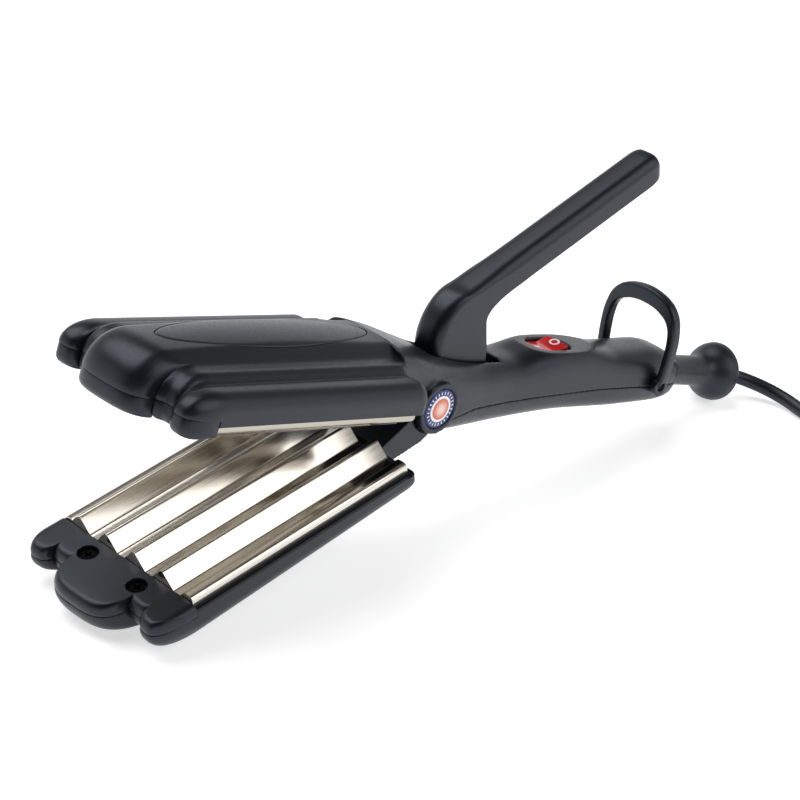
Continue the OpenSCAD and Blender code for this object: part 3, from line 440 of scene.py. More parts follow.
def cover_ring(y, jaw):
    """A cover's section at a distance y from the middle: nose, top, rear corner and the hollow under it."""
    front = PLATE_FRONT - jaw.reach(y)
    over = max(0, abs(y) - JAW_HALF + 3) / 3
    rear = PLATE_REAR + WALL + 1.2 - 3 * (1 - dome(over))
    run = min(15, jaw.reach(y) + 4)
    back = 4.5
    rear_drop = 0.35 * ease((abs(y) - 20.5) / 3)
    step = PLATE_FRONT + jaw.arm
    lip = 0.45
    outer = [(front + lip, SEAM_H), (front + 0.13, SEAM_H + 0.13)]
    for a in np.radians(np.linspace(2, 90, 18)):
        x = front + run * (1 - math.cos(a) ** 0.95)
        outer.append((x, SEAM_H + lip + (jaw.top(x, y) - SEAM_H - lip) * math.sin(a) ** 0.95))
    for x in np.linspace(front + run, rear - back, 34)[1:]:
        outer.append((x, jaw.top(x, y)))
    crest = jaw.top(rear - back, y)
    for a in np.radians(np.linspace(0, 90, 11))[1:]:
        outer.append((rear - back + back * math.sin(a),
                      WALL_H + 0.5 + (crest - WALL_H - 0.5) * (1 - (1 - math.cos(a)) * rear_drop)))
    outer += [(rear, WALL_H + 0.5), (rear - 0.15, WALL_H + 0.15), (rear - 0.5, WALL_H),
              (rear - WALL, WALL_H)]
    inner = []
    for x in np.linspace(rear - WALL, step, 24):
        roof = max(9.0, jaw.top(x, y) - 2.2) if abs(y) < FRAME_HALF else WALL_H
        inner.append((x, roof))
    outer += inner + [(step, SEAM_H)]
    return np.array([(x, y, z) for x, z in outer])


def jaw_cover(name, jaw, put):
    """One jaw's moulded shell."""
    return loft(name, [cover_ring(y, jaw) for y in stations()], put, sharp=40)


def cap_ring(y, jaw):
    """A nose cap's section: flat seam above, face below, rounded at the front."""
    front = PLATE_FRONT - jaw.reach(y) + 0.25
    over = max(0, abs(y) - JAW_HALF + 3.5) / 3.5
    low = jaw.face + 3 * (1 - dome(over))
    back = PLATE_FRONT + jaw.arm - 0.1
    turn = min(3.4, SEAM_H - low - 0.6, back - front - 0.4)
    ring = [(back, SEAM_H - 0.05), (back, low + 0.25), (back - 0.25, low)]
    for t in np.linspace(1, 0, 6)[:-1]:
        ring.append((front + turn + t * (back - 0.5 - front - turn), low))
    for a in np.radians(np.linspace(90, 0, 12)):
        ring.append((front + turn * (1 - math.cos(a)), low + turn * (1 - math.sin(a))))
    ring += [(front, SEAM_H - 0.45), (front + 0.12, SEAM_H - 0.14), (front + 0.45, SEAM_H - 0.05)]
    return np.array([(x, y, z) for x, z in ring])


# The wells of the two nose screws, in the notches between the lobes
WELL_X, WELL_Y, WELL_R = PLATE_FRONT - 7, 13.2, 3.9
SCREW_SEAT = 5.6


def nose_cap(name, jaw, put):
    """The cap under a jaw's nose, with its screw wells. Where it reaches back past the plate's front, it
    stays open in the middle for the plate's frame."""
    ys = [y for y in stations() if jaw.reach(y) + jaw.arm > 4]
    cap = loft(name, [cap_ring(y, jaw) for y in ys], put, sharp=40)
    cutters = []
    if jaw.arm:
        bay = [(PLATE_FRONT - 0.1, -20), (PLATE_FRONT + 40, -20),
               (PLATE_FRONT + 40, 40), (PLATE_FRONT - 0.1, 40)]
        cutters.append(prism("bay", bay, -FRAME_HALF - 0.05, FRAME_HALF + 0.05, put))
    a = around(64)
    for side in (-1, 1):
        steps = ((WELL_R + 0.9, jaw.face - 1), (WELL_R + 0.2, jaw.face - 0.02),
                 (WELL_R + 0.06, jaw.face + 0.1), (WELL_R, jaw.face + 0.3), (WELL_R, SCREW_SEAT))
        rings = [np.stack([WELL_X + r * np.cos(a), side * WELL_Y + r * np.sin(a), np.full(64, z)], -1)
                 for r, z in steps]
        cutters.append(loft("well", rings, put))
    carve(cap, cutters)
    return settle(cap, 40)


def inlay_grid(jaw, lift, edge, length, width):
    """An oval net over the middle ridge, lift over it at the rim and six times that at its middle. The
    outer 3.5 % round off by the height edge."""
    a = around(144)
    rim_from, rim = 0.965, 0.035
    rings = []
    for t in np.concatenate([np.linspace(0.02, 0.94, 14), [rim_from, 0.985, 0.995, 1.0]]):
        x, y = PLATE_MID + length * t * np.cos(a), width * t * np.sin(a)
        fall = edge * (1 - dome(max(0, (t - rim_from) / rim)))
        crown = lift * (1 + 5 * (1 - t * t))
        rings.append(np.stack([x, y, np.array([jaw.top(u, v) for u, v in zip(x, y)]) + crown - fall], -1))
    return rings


# The inlay's half length and half width, its lift over the ridge, its edge's round and its thickness
INLAY_LENGTH, INLAY_WIDTH, INLAY_LIFT, INLAY_EDGE, INLAY_T = 52.0, 12.0, 0.12, 0.35, 1.1
BED_GAP, BED_DEPTH = 0.4, 1.3


def wave_heights(y):
    """The plate's working face across the jaw: flat slopes between tight crests and wider valleys."""
    pitch, depth, low = 15.0, 5.8, -2.1
    crest_flat, valley_flat, soft = 0.7, 1.8, 0.08
    u = y - pitch / 4
    d = np.abs(u - pitch * np.round(u / pitch))
    t = (d - crest_flat) / (pitch / 2 - crest_flat - valley_flat)
    ramp = np.where(t < soft, (np.clip(t + soft, 0, None)) ** 2 / (4 * soft), t)
    ramp = np.where(t > 1 - soft, 1 - np.clip(1 + soft - t, 0, None) ** 2 / (4 * soft), ramp)
    return low + depth * np.clip(ramp, 0, 1)


def wave_plate(name, put, look):
    """A plate as one closed form: its waves, a rolled rim at each side and a flat back."""
    half, rim, side_half, roll_r = 32.3, 30.1, 34.6, 1.7
    inner = np.arange(-rim + 0.01, rim, 0.22)
    heights = wave_heights(inner)
    low_rim, high_rim = 0.95, 1.85
    end_round = 0.25

    def roll(side):
        """The plate's long edge, rolled over the frame that holds it."""
        h = float(np.clip(wave_heights(np.array([side * (rim + 0.6)]))[0], low_rim, high_rim))
        turn = [(side * (side_half - roll_r + roll_r * math.sin(a)), h + roll_r * (1 - math.cos(a)))
                for a in np.radians(np.linspace(0, 90, 10))]
        hem = [(side * side_half, 4.6), (side * (side_half - 0.15), 4.72), (side * half, 3.46)]
        start = [(side * rim, h + 0.15), (side * (rim + 0.3), h + 0.04), (side * (rim + 0.7), h)]
        return start + turn + hem

    back = 6.6
    line = [(-half, back)] + roll(-1)[::-1] + list(zip(inner, heights)) + roll(1) + [(half, back)]
    rings = [np.array([(x, y, h + (end_round if end and h < back else 0)) for y, h in line])
             for x, end in ((PLATE_FRONT, True), (PLATE_FRONT + 0.1, False), (PLATE_FRONT + 0.4, False),
                            (PLATE_MID, False), (PLATE_REAR - 0.4, False), (PLATE_REAR, True))]
    return loft(name, rings, put, look, sharp=40)


# ---------- cord ----------
CORD_R = 3.0
# The handle's length, the height of the swivel's axis at its end and the knob's place along the swivel
HANDLE_LEN, SWIVEL_Z, KNOB_X = 168.0, 2.0, 38.0
# Where the cord starts inside the swivel, how far it runs straight and what run it takes to the table
CORD_START = -27.8
FREE_AT = KNOB_X - 4 - CORD_START
FALL = 52.0
# Length and turn, in degrees, of each stretch of its way to the coil. Below that, the mm between its
# points on the way and the points in a turn of the coil
LEAD_STEPS = [(FREE_AT * math.cos(DIP), 0), (47, -103), (50.3, 103), (78, 0)]
LEAD_SPACE, TURN_POINTS = 3, 36
# The coil's inner radius, its pitch, the turns of a layer and the rise from one layer to the next
COIL_IN, COIL_PITCH, COIL_TURNS, LAYER_RISE = 24.6, 6.7, 3.5, 6.5
COIL_END = 2 * COIL_TURNS + 0.5
# The last bend, in mm and degrees, which brings the plug over the coil, and the plug's height there
REST_TURN, REST_SWEEP = 24.0, 150
PLUG_Z = 2 * CORD_R + LAYER_RISE + 9.45
COIL_OUT = COIL_IN + COIL_PITCH * COIL_TURNS


def cord_route():
    """Centreline from the swivel's mouth to the plug, in mm on the table."""
    way_out = np.array([math.cos(DIP), 0, -math.sin(DIP)])
    begin = stand((HANDLE_LEN, 0, SWIVEL_Z)) / MM + CORD_START * way_out
    plan, at, heading, gone = [], np.zeros(2), 0.0, 0.0
    for length, bend in LEAD_STEPS:
        count = max(1, math.ceil(length / LEAD_SPACE))
        rate = math.radians(bend) / length
        for k in range(0 if gone == 0 else 1, count + 1):
            u = length * k / count
            if bend:
                step = np.array([math.sin(heading + rate * u) - math.sin(heading),
                                 math.cos(heading) - math.cos(heading + rate * u)]) / rate
            else:
                step = u * np.array([math.cos(heading), math.sin(heading)])
            plan.append((*(at + step), gone + u))
        at, heading, gone = np.array(plan[-1][:2]), heading + rate * length, gone + length
    free = LEAD_STEPS[0][0]
    slope = -FALL * math.tan(DIP)
    high = begin[2] - free * math.tan(DIP)
    route = []
    for x, y, s in plan:
        if s < free - 1e-6:
            continue
        t = min((s - free) / FALL, 1)
        z = (high * (2 * t**3 - 3 * t**2 + 1) + slope * (t**3 - 2 * t**2 + t)
             + CORD_R * (3 * t**2 - 2 * t**3))
        route.append((begin[0] + x, y, z))
    end = np.array(route[-1])
    c, s = math.cos(heading), math.sin(heading)
    coil = [(-CORD_R, 0, CORD_R)]
    for i in range(int(TURN_POINTS * COIL_END) + 1):
        t = i / TURN_POINTS
        r = COIL_IN + COIL_PITCH * max(0, abs(t - COIL_TURNS - 0.25) - 0.25)
        a = 2 * math.pi * t - math.pi / 2
        layers = ease(2 * (t - COIL_TURNS)) + ease((t - COIL_END + 0.36) / 0.36)
        coil.append((r * math.cos(a), COIL_OUT + r * math.sin(a), CORD_R + LAYER_RISE * layers))
    top = CORD_R + 2 * LAYER_RISE
    for b in range(5, REST_SWEEP + 1, 5):
        a = math.radians(b)
        coil.append((-REST_TURN * math.sin(a), 2 * COIL_OUT - REST_TURN * (1 - math.cos(a)),
                     top + (PLUG_Z - top) * ease(b / REST_SWEEP)))
    for x, y, z in coil:
        u = x + 2 * CORD_R
        route.append((end[0] + u * c - y * s, end[1] + u * s + y * c, float(z)))
    return np.array(route), heading


route, coil_heading = cord_route()
curve = bpy.data.curves.new("cord", "CURVE")
curve.dimensions = "3D"
curve.bevel_depth = CORD_R * MM
curve.bevel_resolution = 6
curve.use_fill_caps = True
spline = curve.splines.new("POLY")
spline.points.add(len(route) - 1)
for spot, p in zip(spline.points, route * MM):
    spot.co = (*p, 1)
spline.use_smooth = True
curve.materials.append(soft_pvc)
cord = bpy.data.objects.new("cord", curve)
bpy.context.scene.collection.objects.link(cord)
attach(cord, HANDLE)
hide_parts("cord_lead", "cord_coil")

# Plug at the cord's end, lying on the coil
plug_at = route[-1]
plug_heading = coil_heading + math.pi + math.radians(REST_SWEEP)
plug_way = np.array([math.cos(plug_heading), math.sin(plug_heading), 0])
plug_side = np.array([-plug_way[1], plug_way[0], 0])


def plug_ring(along, wide, high, square):
    """A section of the plug: round for square = 1, boxier for less."""
    a = around(64)
    u, v = wide * power(np.cos(a), square), high * power(np.sin(a), square)
    return plug_at + along * plug_way + u[:, None] * plug_side + v[:, None] * np.array([0, 0, 1])


plug_rings = [plug_ring(0.3, 3.1, 3.1, 1), plug_ring(0.3, 3.9, 3.9, 1), plug_ring(0.8, 4.3, 4.3, 1)]
# Its strain relief: ribs that swell towards the body, with grooves between
RIBS, RIB_PITCH, GROOVE = 6, 2.6, 0.7
for k in range(RIBS):
    swell = 4.3 + 0.3 * k
    for place, radius in ((1.4, swell), (2.6, swell), (2.9, swell - GROOVE), (3.7, swell - GROOVE)):
        plug_rings.append(plug_ring(place + RIB_PITCH * k, radius, radius, 1))
# Its body: how far along, half width, half height and how square
PLUG_BODY = [(17.4, 6.0, 6.0, 0.95), (18.4, 8.2, 7.6, 0.75), (19.6, 10.2, 8.9, 0.62), (22, 11.9, 9.3, 0.5),
             (26, 12.4, 9.4, 0.45), (32, 12.0, 9.2, 0.45), (40, 12.2, 9.3, 0.42), (46.4, 12.4, 9.4, 0.4),
             (47.4, 12.1, 9.1, 0.4), (47.9, 11.4, 8.4, 0.42), (48, 10.6, 7.7, 0.45)]
plug_rings += [plug_ring(*row) for row in PLUG_BODY]
plug = loft("plug", plug_rings, table, soft_pvc, sharp=45)
finish_piece(plug, HANDLE, "cord_rubber", "plug_body")

# ---------- jaws ----------
upper_cover = jaw_cover("upper_cover", UPPER_JAW, stand)
bed = inlay_grid(UPPER_JAW, -BED_DEPTH, 0, INLAY_LENGTH + BED_GAP, INLAY_WIDTH + BED_GAP)
bed.append(bed[-1] * (1, 1, 0) + (0, 0, 40))
carve(upper_cover, [loft("bed", bed, stand)])
settle(upper_cover, 40)
finish_piece(upper_cover, HANDLE, "charcoal_plastic", "upper_jaw_cover", look=charcoal_abs)
inlay_rings = inlay_grid(UPPER_JAW, INLAY_LIFT, INLAY_EDGE, INLAY_LENGTH, INLAY_WIDTH)
inlay_rings.append(inlay_rings[-1] - (0, 0, INLAY_T))
inlay = loft("ridge_inlay", inlay_rings, stand, sharp=40)
finish_piece(inlay, HANDLE, "charcoal_plastic", "oval_inlay", look=charcoal_abs)
lower_cover = jaw_cover("lower_cover", LOWER_JAW, turn_over)
finish_piece(lower_cover, LOWER, "charcoal_plastic", "lower_jaw_cover", look=charcoal_abs)
upper_cap = nose_cap("upper_cap", UPPER_JAW, stand)
finish_piece(upper_cap, HANDLE, "charcoal_plastic", "upper_nose_cap", look=charcoal_abs)
lower_cap = nose_cap("lower_cap", LOWER_JAW, turn_over)
finish_piece(lower_cap, LOWER, "charcoal_plastic", "lower_nose_cap", look=charcoal_abs)
# The upper plate takes the darker nickel: painted shade
finish_piece(wave_plate("upper_plate", stand, shaded_upper_nickel), HANDLE, "plate_metal", "upper_wave_plate")
finish_piece(wave_plate("lower_plate", turn_over, lower_nickel), LOWER, "plate_metal", "lower_wave_plate")

# ---------- handle ----------
# Along the handle, from inside the hinge to the cord end: its half width, its top and its underside
WIDTHS = [(-30, 22), (-18, 20.2), (-6, 19), (6, 18.6), (18, 17.4), (32, 15.6), (48, 14.2), (64, 13.6),
          (98, 13.4), (134, 13.4), (146, 13.2), (152, 13), (157, 12.4), (161, 11.4), (164.5, 9.6),
          (167, 7.8), (168, 7)]
TOPS = [(-30, 24.2), (-18, 22), (-6, 18.8), (6, 15.8), (18, 13.6), (32, 12.6), (48, 12.9), (57, 13.2),
        (65, 15.4), (73, 17.4), (84, 17.9), (96, 17.6), (107, 15.9), (118, 14.4), (134, 14.6), (147, 15),
        (153, 14.4), (158, 12.8), (162, 11), (164.5, 9.6), (167, 8.8), (168, 8.5)]
LOWS = [(-30, 4.6), (-18, 4.6), (-6, 0), (0, -10), (6, -13.6), (18, -14.4), (32, -13.6), (56, -11.8),
        (86, -10), (122, -9.8), (146, -9), (152, -8.7), (157, -8.1), (161, -7.2), (164.5, -5.8),
        (167, -4.9), (168, -4.5)]


# How far the running mean in eased() reaches to each side, by the place along the handle
SPREAD_AT, SPREAD = [-28, -20, 0, 8, 20, 140, 152, 168], [0.1, 3, 2.5, 2.5, 6, 6, 1.5, 0.05]


def eased(knots, xs):
    """A table read as one soft curve: straight reading, then a running mean that narrows at the end."""
    knots = np.array(knots, float)
    out = []
    for x in xs:
        spread = np.interp(x, SPREAD_AT, SPREAD)
        near = x + np.linspace(-1, 1, 21) * spread
        weight = np.cos(np.linspace(-1, 1, 21) * math.pi / 2) + 0.02
        out.append(float((np.interp(near, knots[:, 0], knots[:, 1]) * weight).sum() / weight.sum()))
    return np.array(out)


def handle_body(name):
    """The whole grip as one solid of squared-off ovals."""
    square = 0.66
    xs = np.concatenate([np.arange(-27.9, 150, 1.6), np.arange(150.4, 167.9, 0.7), [168]])
    wide, top, low = eased(WIDTHS, xs), eased(TOPS, xs), eased(LOWS, xs)
    a = around(72)
    rings = []
    for x, w, t, b in zip(xs, wide, top, low):
        rings.append(np.stack([np.full(72, x), w * power(np.cos(a), square),
                               (t + b) / 2 + (t - b) / 2 * power(np.sin(a), square)], -1))
    return loft(name, rings, stand)


# The line between the handle's shells, seen from the side
SEAM = [(-60, 3), (-11, 3), (-9, -6.5), (13.5, -6.5), (26, -3.4), (108, 0.6), (188, 0.9)]
# At the pivot: the moving hub, the handle's bosses beside it and the badges let into their ends
HUB_HALF, HUB_R, BOSS_R, BOSS_HALF, BADGE_R, BADGE_BED = 11.4, 9.4, 10.3, 21.0, 7.9, 1.4
SLOT_HALF = 7.6
# The switch's place, the flat top of the pad about it, and its well: length, width and floor
SWITCH_X, PAD_TOP = 82.0, 15.7
SWITCH_WELL = 22.8, 12.6, 5.4
# Far enough past the tool for a cutter's end
AWAY = 60


def room_cutters():
    """What the moving hub, arm and lever root sweep through."""
    under = [(-80, 3.4), (-12, 3.4), (-8, 5.5), (0, 0), (8, -8), (14, -9), (14, -60), (-80, -60)]
    slot = [(0, -8), (40, -9), (44, 4), (46, 9), (46, 40), (0, 40), (0, 8)]
    return [drum("hub_room", HUB_R + 1.3, -HUB_HALF - 0.3, HUB_HALF + 0.3, stand),
            prism("arm_room", under, -18.5, 18.5, stand),
            prism("lever_slot", slot, -SLOT_HALF, SLOT_HALF, stand)]


def stadium(name, centre, length, wide, low, high):
    """An upright block with half-round ends."""
    a = np.radians(np.arange(-90, 91, 6))
    half = (length - wide) / 2
    right_end = [(centre + half + wide / 2 * math.cos(t), wide / 2 * math.sin(t)) for t in a]
    left_end = [(centre - half - wide / 2 * math.cos(t), -wide / 2 * math.sin(t)) for t in a]
    return loft(name, [np.array([(x, y, z) for x, y in right_end + left_end]) for z in (low, high)], stand)


def handle_half(name, upper):
    """One shell of the handle. The upper one has the pivot bosses, the switch's pad and its well."""
    half = handle_body(name)
    cutters = []
    if upper:
        cutters.append(prism("below", SEAM + [(188, -AWAY), (-AWAY, -AWAY)], -AWAY, AWAY, stand))
        over = [(52, PAD_TOP), (124, PAD_TOP), (124, AWAY), (52, AWAY)]
        cutters.append(prism("over_pad", over, -AWAY, AWAY, stand))
        cutters.append(stadium("well", SWITCH_X + 0.5, *SWITCH_WELL, 40))
    else:
        seam = [(x, z - 0.02) for x, z in SEAM]
        cutters.append(prism("above", seam + [(188, AWAY), (-AWAY, AWAY)], -AWAY, AWAY, stand))
    cutters += room_cutters()
    if not upper:
        cutters.append(drum("boss_gap", BOSS_R + 0.35, -AWAY, AWAY, stand))
    carve(half, cutters)
    if upper:
        for side in (-1, 1):
            low, high = sorted((side * (HUB_HALF + 0.3), side * BOSS_HALF))
            carve(half, [drum("boss", BOSS_R, low, high, stand, sides=96)], "UNION")
        beds = []
        for side in (-1, 1):
            low, high = sorted((side * (BOSS_HALF - BADGE_BED), side * (BOSS_HALF + 5)))
            beds.append(drum("bed", BADGE_R + 0.2, low, high, stand, sides=96))
        carve(half, beds)
    return half


upper_shell = handle_half("upper_shell", True)
melt(upper_shell, 0.55, 3)
finish_piece(upper_shell, HANDLE, "charcoal_plastic", "handle_upper_shell", look=charcoal_abs)
lower_shell = handle_half("lower_shell", False)
melt(lower_shell, 0.55, 3)
finish_piece(lower_shell, HANDLE, "charcoal_plastic", "handle_lower_shell", look=charcoal_abs)


# ---------- badges ----------
def badge(name, side, node):
    """A domed resin badge: navy ring with dial ticks, a white ring and a coral centre that fades to a
    painted highlight in its middle.
    """
    centre = stand((0, side * BOSS_HALF, 0))
    # The coral print pales to its middle: a painted highlight
    coral = print_with_painted_highlight(name + "_coral_resin_painted_highlight", centre, "#dd6a4d", "#f6d9cc", 4.4 * MM)
    centre_r, white_r, tick_from, tick_to, tick_step, tick = 4.2, 5.2, 5.8, 6.9, 15, 3.75
    a = around(96)
    radii = [0.01, 1, 2, 3, 4.1, 4.3, 5.0, 5.3, 5.8, 6.9, 7.4, 7.7, 7.88]
    levels = [0.5, 0.48, 0.42, 0.33, 0.2, 0.18, 0.1, 0.08, 0.04, 0, -0.08, -0.2, -0.45]
    rings = [np.stack([r * np.cos(a), np.full(96, side * (BOSS_HALF - 0.1 + h)), r * np.sin(a)], -1)
             for r, h in zip(radii, levels)]
    rings.append(rings[-1] - (0, side * 0.8, 0))
    obj = loft(name, rings, stand, sharp=50)
    for look in (navy_print, pale_print, coral):
        obj.data.materials.append(look)
    middle = Vector(centre)
    for face in obj.data.polygons:
        off = Vector(face.center) - middle
        reach = math.hypot(off.x, off.z) / MM
        angle = math.degrees(math.atan2(off.z, off.x)) % tick_step
        if reach < centre_r:
            face.material_index = 2
        elif reach < white_r or (tick_from < reach < tick_to and angle < tick):
            face.material_index = 1
    return finish_piece(obj, HANDLE, "badge_print", node)


badge("near_badge_dome", -1, "near_badge")
badge("far_badge_dome", 1, "far_badge")

# ---------- hinge arm ----------
arm = bpy.data.objects.new("arm", frame["nodes"]["hinge_arm"].data.copy())
bpy.context.scene.collection.objects.link(arm)
melt(arm, 0.5, 2)
finish_piece(arm, LOWER, "charcoal_plastic", "hinge_arm", look=charcoal_abs)

# ---------- lever ----------
# Half its width, its depth and its slope, with the underside LEVER_LOW over the pivot at LEVER_FROM
LEVER_HALF, LEVER_T, LEVER_SLOPE = 7.0, 12.2, math.radians(6.8)
LEVER_LOW, LEVER_FROM = 18.6, 48
# The rounds of its outer and inner edges
OUTER_ROUND, INNER_ROUND = 4.8, 1.3


def lever_mid(x):
    """Height of the straight grip's middle line."""
    return LEVER_LOW + LEVER_T / 2 + (x - LEVER_FROM) * math.tan(LEVER_SLOPE)


def lever_pairs():
    """Matched places on the lever's outer and inner edges, from the slot up to the tip, and its scale."""
    pairs = [((9.4, -6), (39.6, -6), 0.93), ((9.7, 1), (40.2, -2.5), 0.93), ((10.3, 6), (40.5, 1), 0.93),
             ((11.7, 11.5), (40.5, 5), 0.94), ((13.4, 17), (40.6, 9.5), 0.95),
             ((16.9, 22.5), (40.9, 13), 0.96), ((21.9, 26.7), (43.4, 15.9), 0.97),
             ((27.6, 28.9), (47.6, 17.8), 0.98)]
    deep = LEVER_T / 2
    for x, inner_x, inner_z in ((34, 52.2, 19.1), (42, 58, 19.9)):
        pairs.append(((x, lever_mid(x) + deep), (inner_x, inner_z), 1))
    for x in (54, 66, 78, 90, 104, 118, 128):
        web = x < 60
        outer = (x - 2, lever_mid(x - 2) + deep)
        pairs.append((outer, (x + 6 * web, lever_mid(x) - deep + 0.6 * web), 1))
    for x, k in ((134, 1), (137, 0.96), (138.6, 0.89), (139.5, 0.8), (140, 0.66)):
        pairs.append(((x, lever_mid(x) + deep * k), (x, lever_mid(x) - deep * k), 0.5 + 0.5 * k))
    return pairs


def through(points, count):
    """A smooth line through points, evenly spread between them."""
    p = np.array(points, float)
    p = np.vstack([2 * p[0] - p[1], p, 2 * p[-1] - p[-2]])
    out = []
    for i in range(1, len(p) - 2):
        for t in np.arange(count) / count:
            out.append(0.5 * (2 * p[i] + (p[i + 1] - p[i - 1]) * t
                              + (2 * p[i - 1] - 5 * p[i] + 4 * p[i + 1] - p[i + 2]) * t**2
                              + (3 * p[i] - p[i - 1] - 3 * p[i + 1] + p[i + 2]) * t**3))
    out.append(p[-2])
    return np.array(out)


def lever_piece(name):
    """The squeeze lever: sections across it, with places close together where their edges turn."""
    line = through([(*o, *i, k) for o, i, k in lever_pairs()], 6)
    rings = []
    for ox, oz, ix, iz, k in line:
        width = math.hypot(ox - ix, oz - iz)
        half = LEVER_HALF * k
        near = []
        depths = np.concatenate([np.linspace(0, 1, 16) ** 1.3 * 4.9, width - np.linspace(3.2, 0, 10)])
        for d in depths:
            r_out, r_in = OUTER_ROUND * min(1, k), INNER_ROUND * min(1, k)
            y = half
            if d < r_out:
                y -= r_out * (1 - dome((r_out - d) / r_out))
            if width - d < r_in:
                y -= r_in * (1 - dome((r_in - width + d) / r_in))
            t = d / width
            near.append((ox + (ix - ox) * t, y, oz + (iz - oz) * t))
        near = np.array(near)
        rings.append(np.concatenate([near, (near * (1, -1, 1))[::-1]]))
    return loft(name, rings, swing, sharp=55)


lever = lever_piece("lever_grip")
finish_piece(lever, LOWER, "charcoal_plastic", "lever", look=charcoal_abs)


# ---------- rocker ----------
# Its axis over the pivot, its drum's radius, its tilt at rest, and half the length and width of its top
AXIS_Z, ROCKER_R, ROCKER_TILT = 10.9, 8.5, math.radians(10)
ROCKER_LONG, ROCKER_WIDE = 6.9, 5.4
# The marks printed on it: sunk in below, just proud above
PRINT_LOW, PRINT_HIGH = -0.16, 0.1


def on_rocker(p):
    return stand(turned(np.asarray(p, float), -ROCKER_TILT) + (SWITCH_X, 0, AXIS_Z))


def rocker_top(x):
    """Height of its dished top over its axis."""
    return 3.4 + 0.2333 * math.sqrt(x * x + 1.2)


def rocker_line():
    """Its outline from the side."""
    a = np.radians(np.arange(35, -216, -5))
    low = [(ROCKER_R * math.cos(t), ROCKER_R * math.sin(t)) for t in a
           if -30 < math.degrees(t) or math.degrees(t) < -150]
    left = [p for p in low if p[0] < 0]
    right_part = [p for p in low if p[0] > 0]
    top = [(x, rocker_top(x)) for x in np.linspace(-ROCKER_LONG, ROCKER_LONG, 19)]
    return top + right_part + left


rocker = prism("rocker_cap", rocker_line(), -ROCKER_WIDE, ROCKER_WIDE, on_rocker, sharp=30)
edge = rocker.modifiers.new("edge", "BEVEL")
edge.width = 0.35 * MM
edge.segments = 3
edge.limit_method = "ANGLE"
edge.angle_limit = math.radians(50)
apply_all(rocker)
settle(rocker, 50)
rocker.data.materials.append(red_acrylic)
rocker.data.materials.append(red_acrylic_painted_side_shade)
# Faces turned sideways or down take the darker red: painted shade
for face in rocker.data.polygons:
    if abs(face.normal.y) > 0.7 or face.normal.z < 0.2:
        face.material_index = 1
finish_piece(rocker, "switch_rocker", "red_rocker", "rocker")


def printed_ring(name, x, outer, inner):
    """The off mark, a ring that follows the rocker's top."""
    a = around(48)
    rings = []
    for r, lift in ((outer, PRINT_LOW), (outer, PRINT_HIGH), (inner, PRINT_HIGH), (inner, PRINT_LOW)):
        px = x + r * np.cos(a)
        rings.append(np.stack([px, r * np.sin(a), np.array([rocker_top(u) for u in px]) + lift], -1))
    points, faces = skin(rings + [rings[0]], ends=False)
    return piece(name, on_rocker(points), faces, white_print)


finish_piece(printed_ring("off_mark", 5.1, 2.15, 1.35), "switch_rocker", "red_rocker")
# The on mark, a bar along the rocker
BAR_FROM, BAR_TO, BAR_HALF = -6.9, -3.5, 0.35
bar_points = [(x, y, rocker_top(x) + lift)
              for y, lift in ((-BAR_HALF, PRINT_LOW), (-BAR_HALF, PRINT_HIGH),
                              (BAR_HALF, PRINT_HIGH), (BAR_HALF, PRINT_LOW))
              for x in (BAR_FROM, BAR_TO)]
bar_faces = [(0, 2, 3, 1), (2, 4, 5, 3), (4, 6, 7, 5), (6, 0, 1, 7), (0, 6, 4, 2), (1, 3, 5, 7)]
on_mark = piece("on_mark", on_rocker(bar_points), bar_faces, white_print)
finish_piece(on_mark, "switch_rocker", "red_rocker")

# ---------- hanging loop ----------
# Its pins' place, and how far it leans forward
LOOP_X, LOOP_Z, LOOP_LEAN = 144.5, 1.8, math.radians(8.5)
# From its top (0) down to its pins (1): half its span, its height and half the strap's depth
LOOP_SIDE = [(0, 0), (0.12, 4.9), (0.25, 9.8), (0.38, 13.8), (0.5, 16.1), (0.62, 17.3), (0.72, 17.5),
             (0.86, 17), (1, 16)]
LOOP_RISE = [(0, 35.2), (0.12, 34.8), (0.25, 33.4), (0.38, 30.8), (0.5, 27.2), (0.62, 22.2), (0.72, 17),
             (0.86, 8), (1, 0)]
LOOP_HALF = [(0, 3.6), (0.3, 3.3), (0.55, 2), (1, 1.7)]
STRAP_HALF = 2.6
# The round feet at its pins, and the hole through them
FOOT_R, FOOT_IN, FOOT_OUT, PIN_HOLE = 4.2, 13.9, 16.9, 2.06


def loop_spot(t):
    """The strap's middle line seen from the front, for t from -1 to 1, softened at its corners."""
    near = abs(t) + np.linspace(-1, 1, 9) * 0.06
    side = np.interp(np.abs(near), *zip(*LOOP_SIDE)) * np.sign(near)
    rise = np.interp(np.abs(near), *zip(*LOOP_RISE))
    return np.array([math.copysign(1, t) * side.mean(), rise.mean()])


def in_loop(p):
    return stand(turned(np.asarray(p, float), -LOOP_LEAN) + (LOOP_X, 0, LOOP_Z))


loop_rings = []
for t in np.linspace(-1, 1, 121):
    at = loop_spot(t)
    way = loop_spot(t + 0.01) - loop_spot(t - 0.01)
    out = np.array([-way[1], way[0]]) / np.linalg.norm(way)
    half = float(np.interp(abs(t), *zip(*LOOP_HALF)))
    a = around(28)
    u, v = half * power(np.cos(a), 0.5), STRAP_HALF * power(np.sin(a), 0.5)
    loop_rings.append(np.stack([v, at[0] + u * out[0], at[1] + u * out[1]], -1))
loop = loft("loop_strap", loop_rings, in_loop)
feet = [drum("foot", FOOT_R, *sorted((side * FOOT_IN, side * FOOT_OUT)), in_loop) for side in (-1, 1)]
carve(loop, feet, "UNION")
carve(loop, [drum("hole", PIN_HOLE, -40, 40, in_loop, sides=40)])
melt(loop, 0.4, 2)
finish_piece(loop, "hang_loop", "charcoal_plastic", "hang_loop", look=charcoal_abs)


# ---------- swivel: neck and knob ----------
def on_swivel(p):
    return stand(turned(np.asarray(p, float), SWIVEL_TILT) + (HANDLE_LEN, 0, SWIVEL_Z))


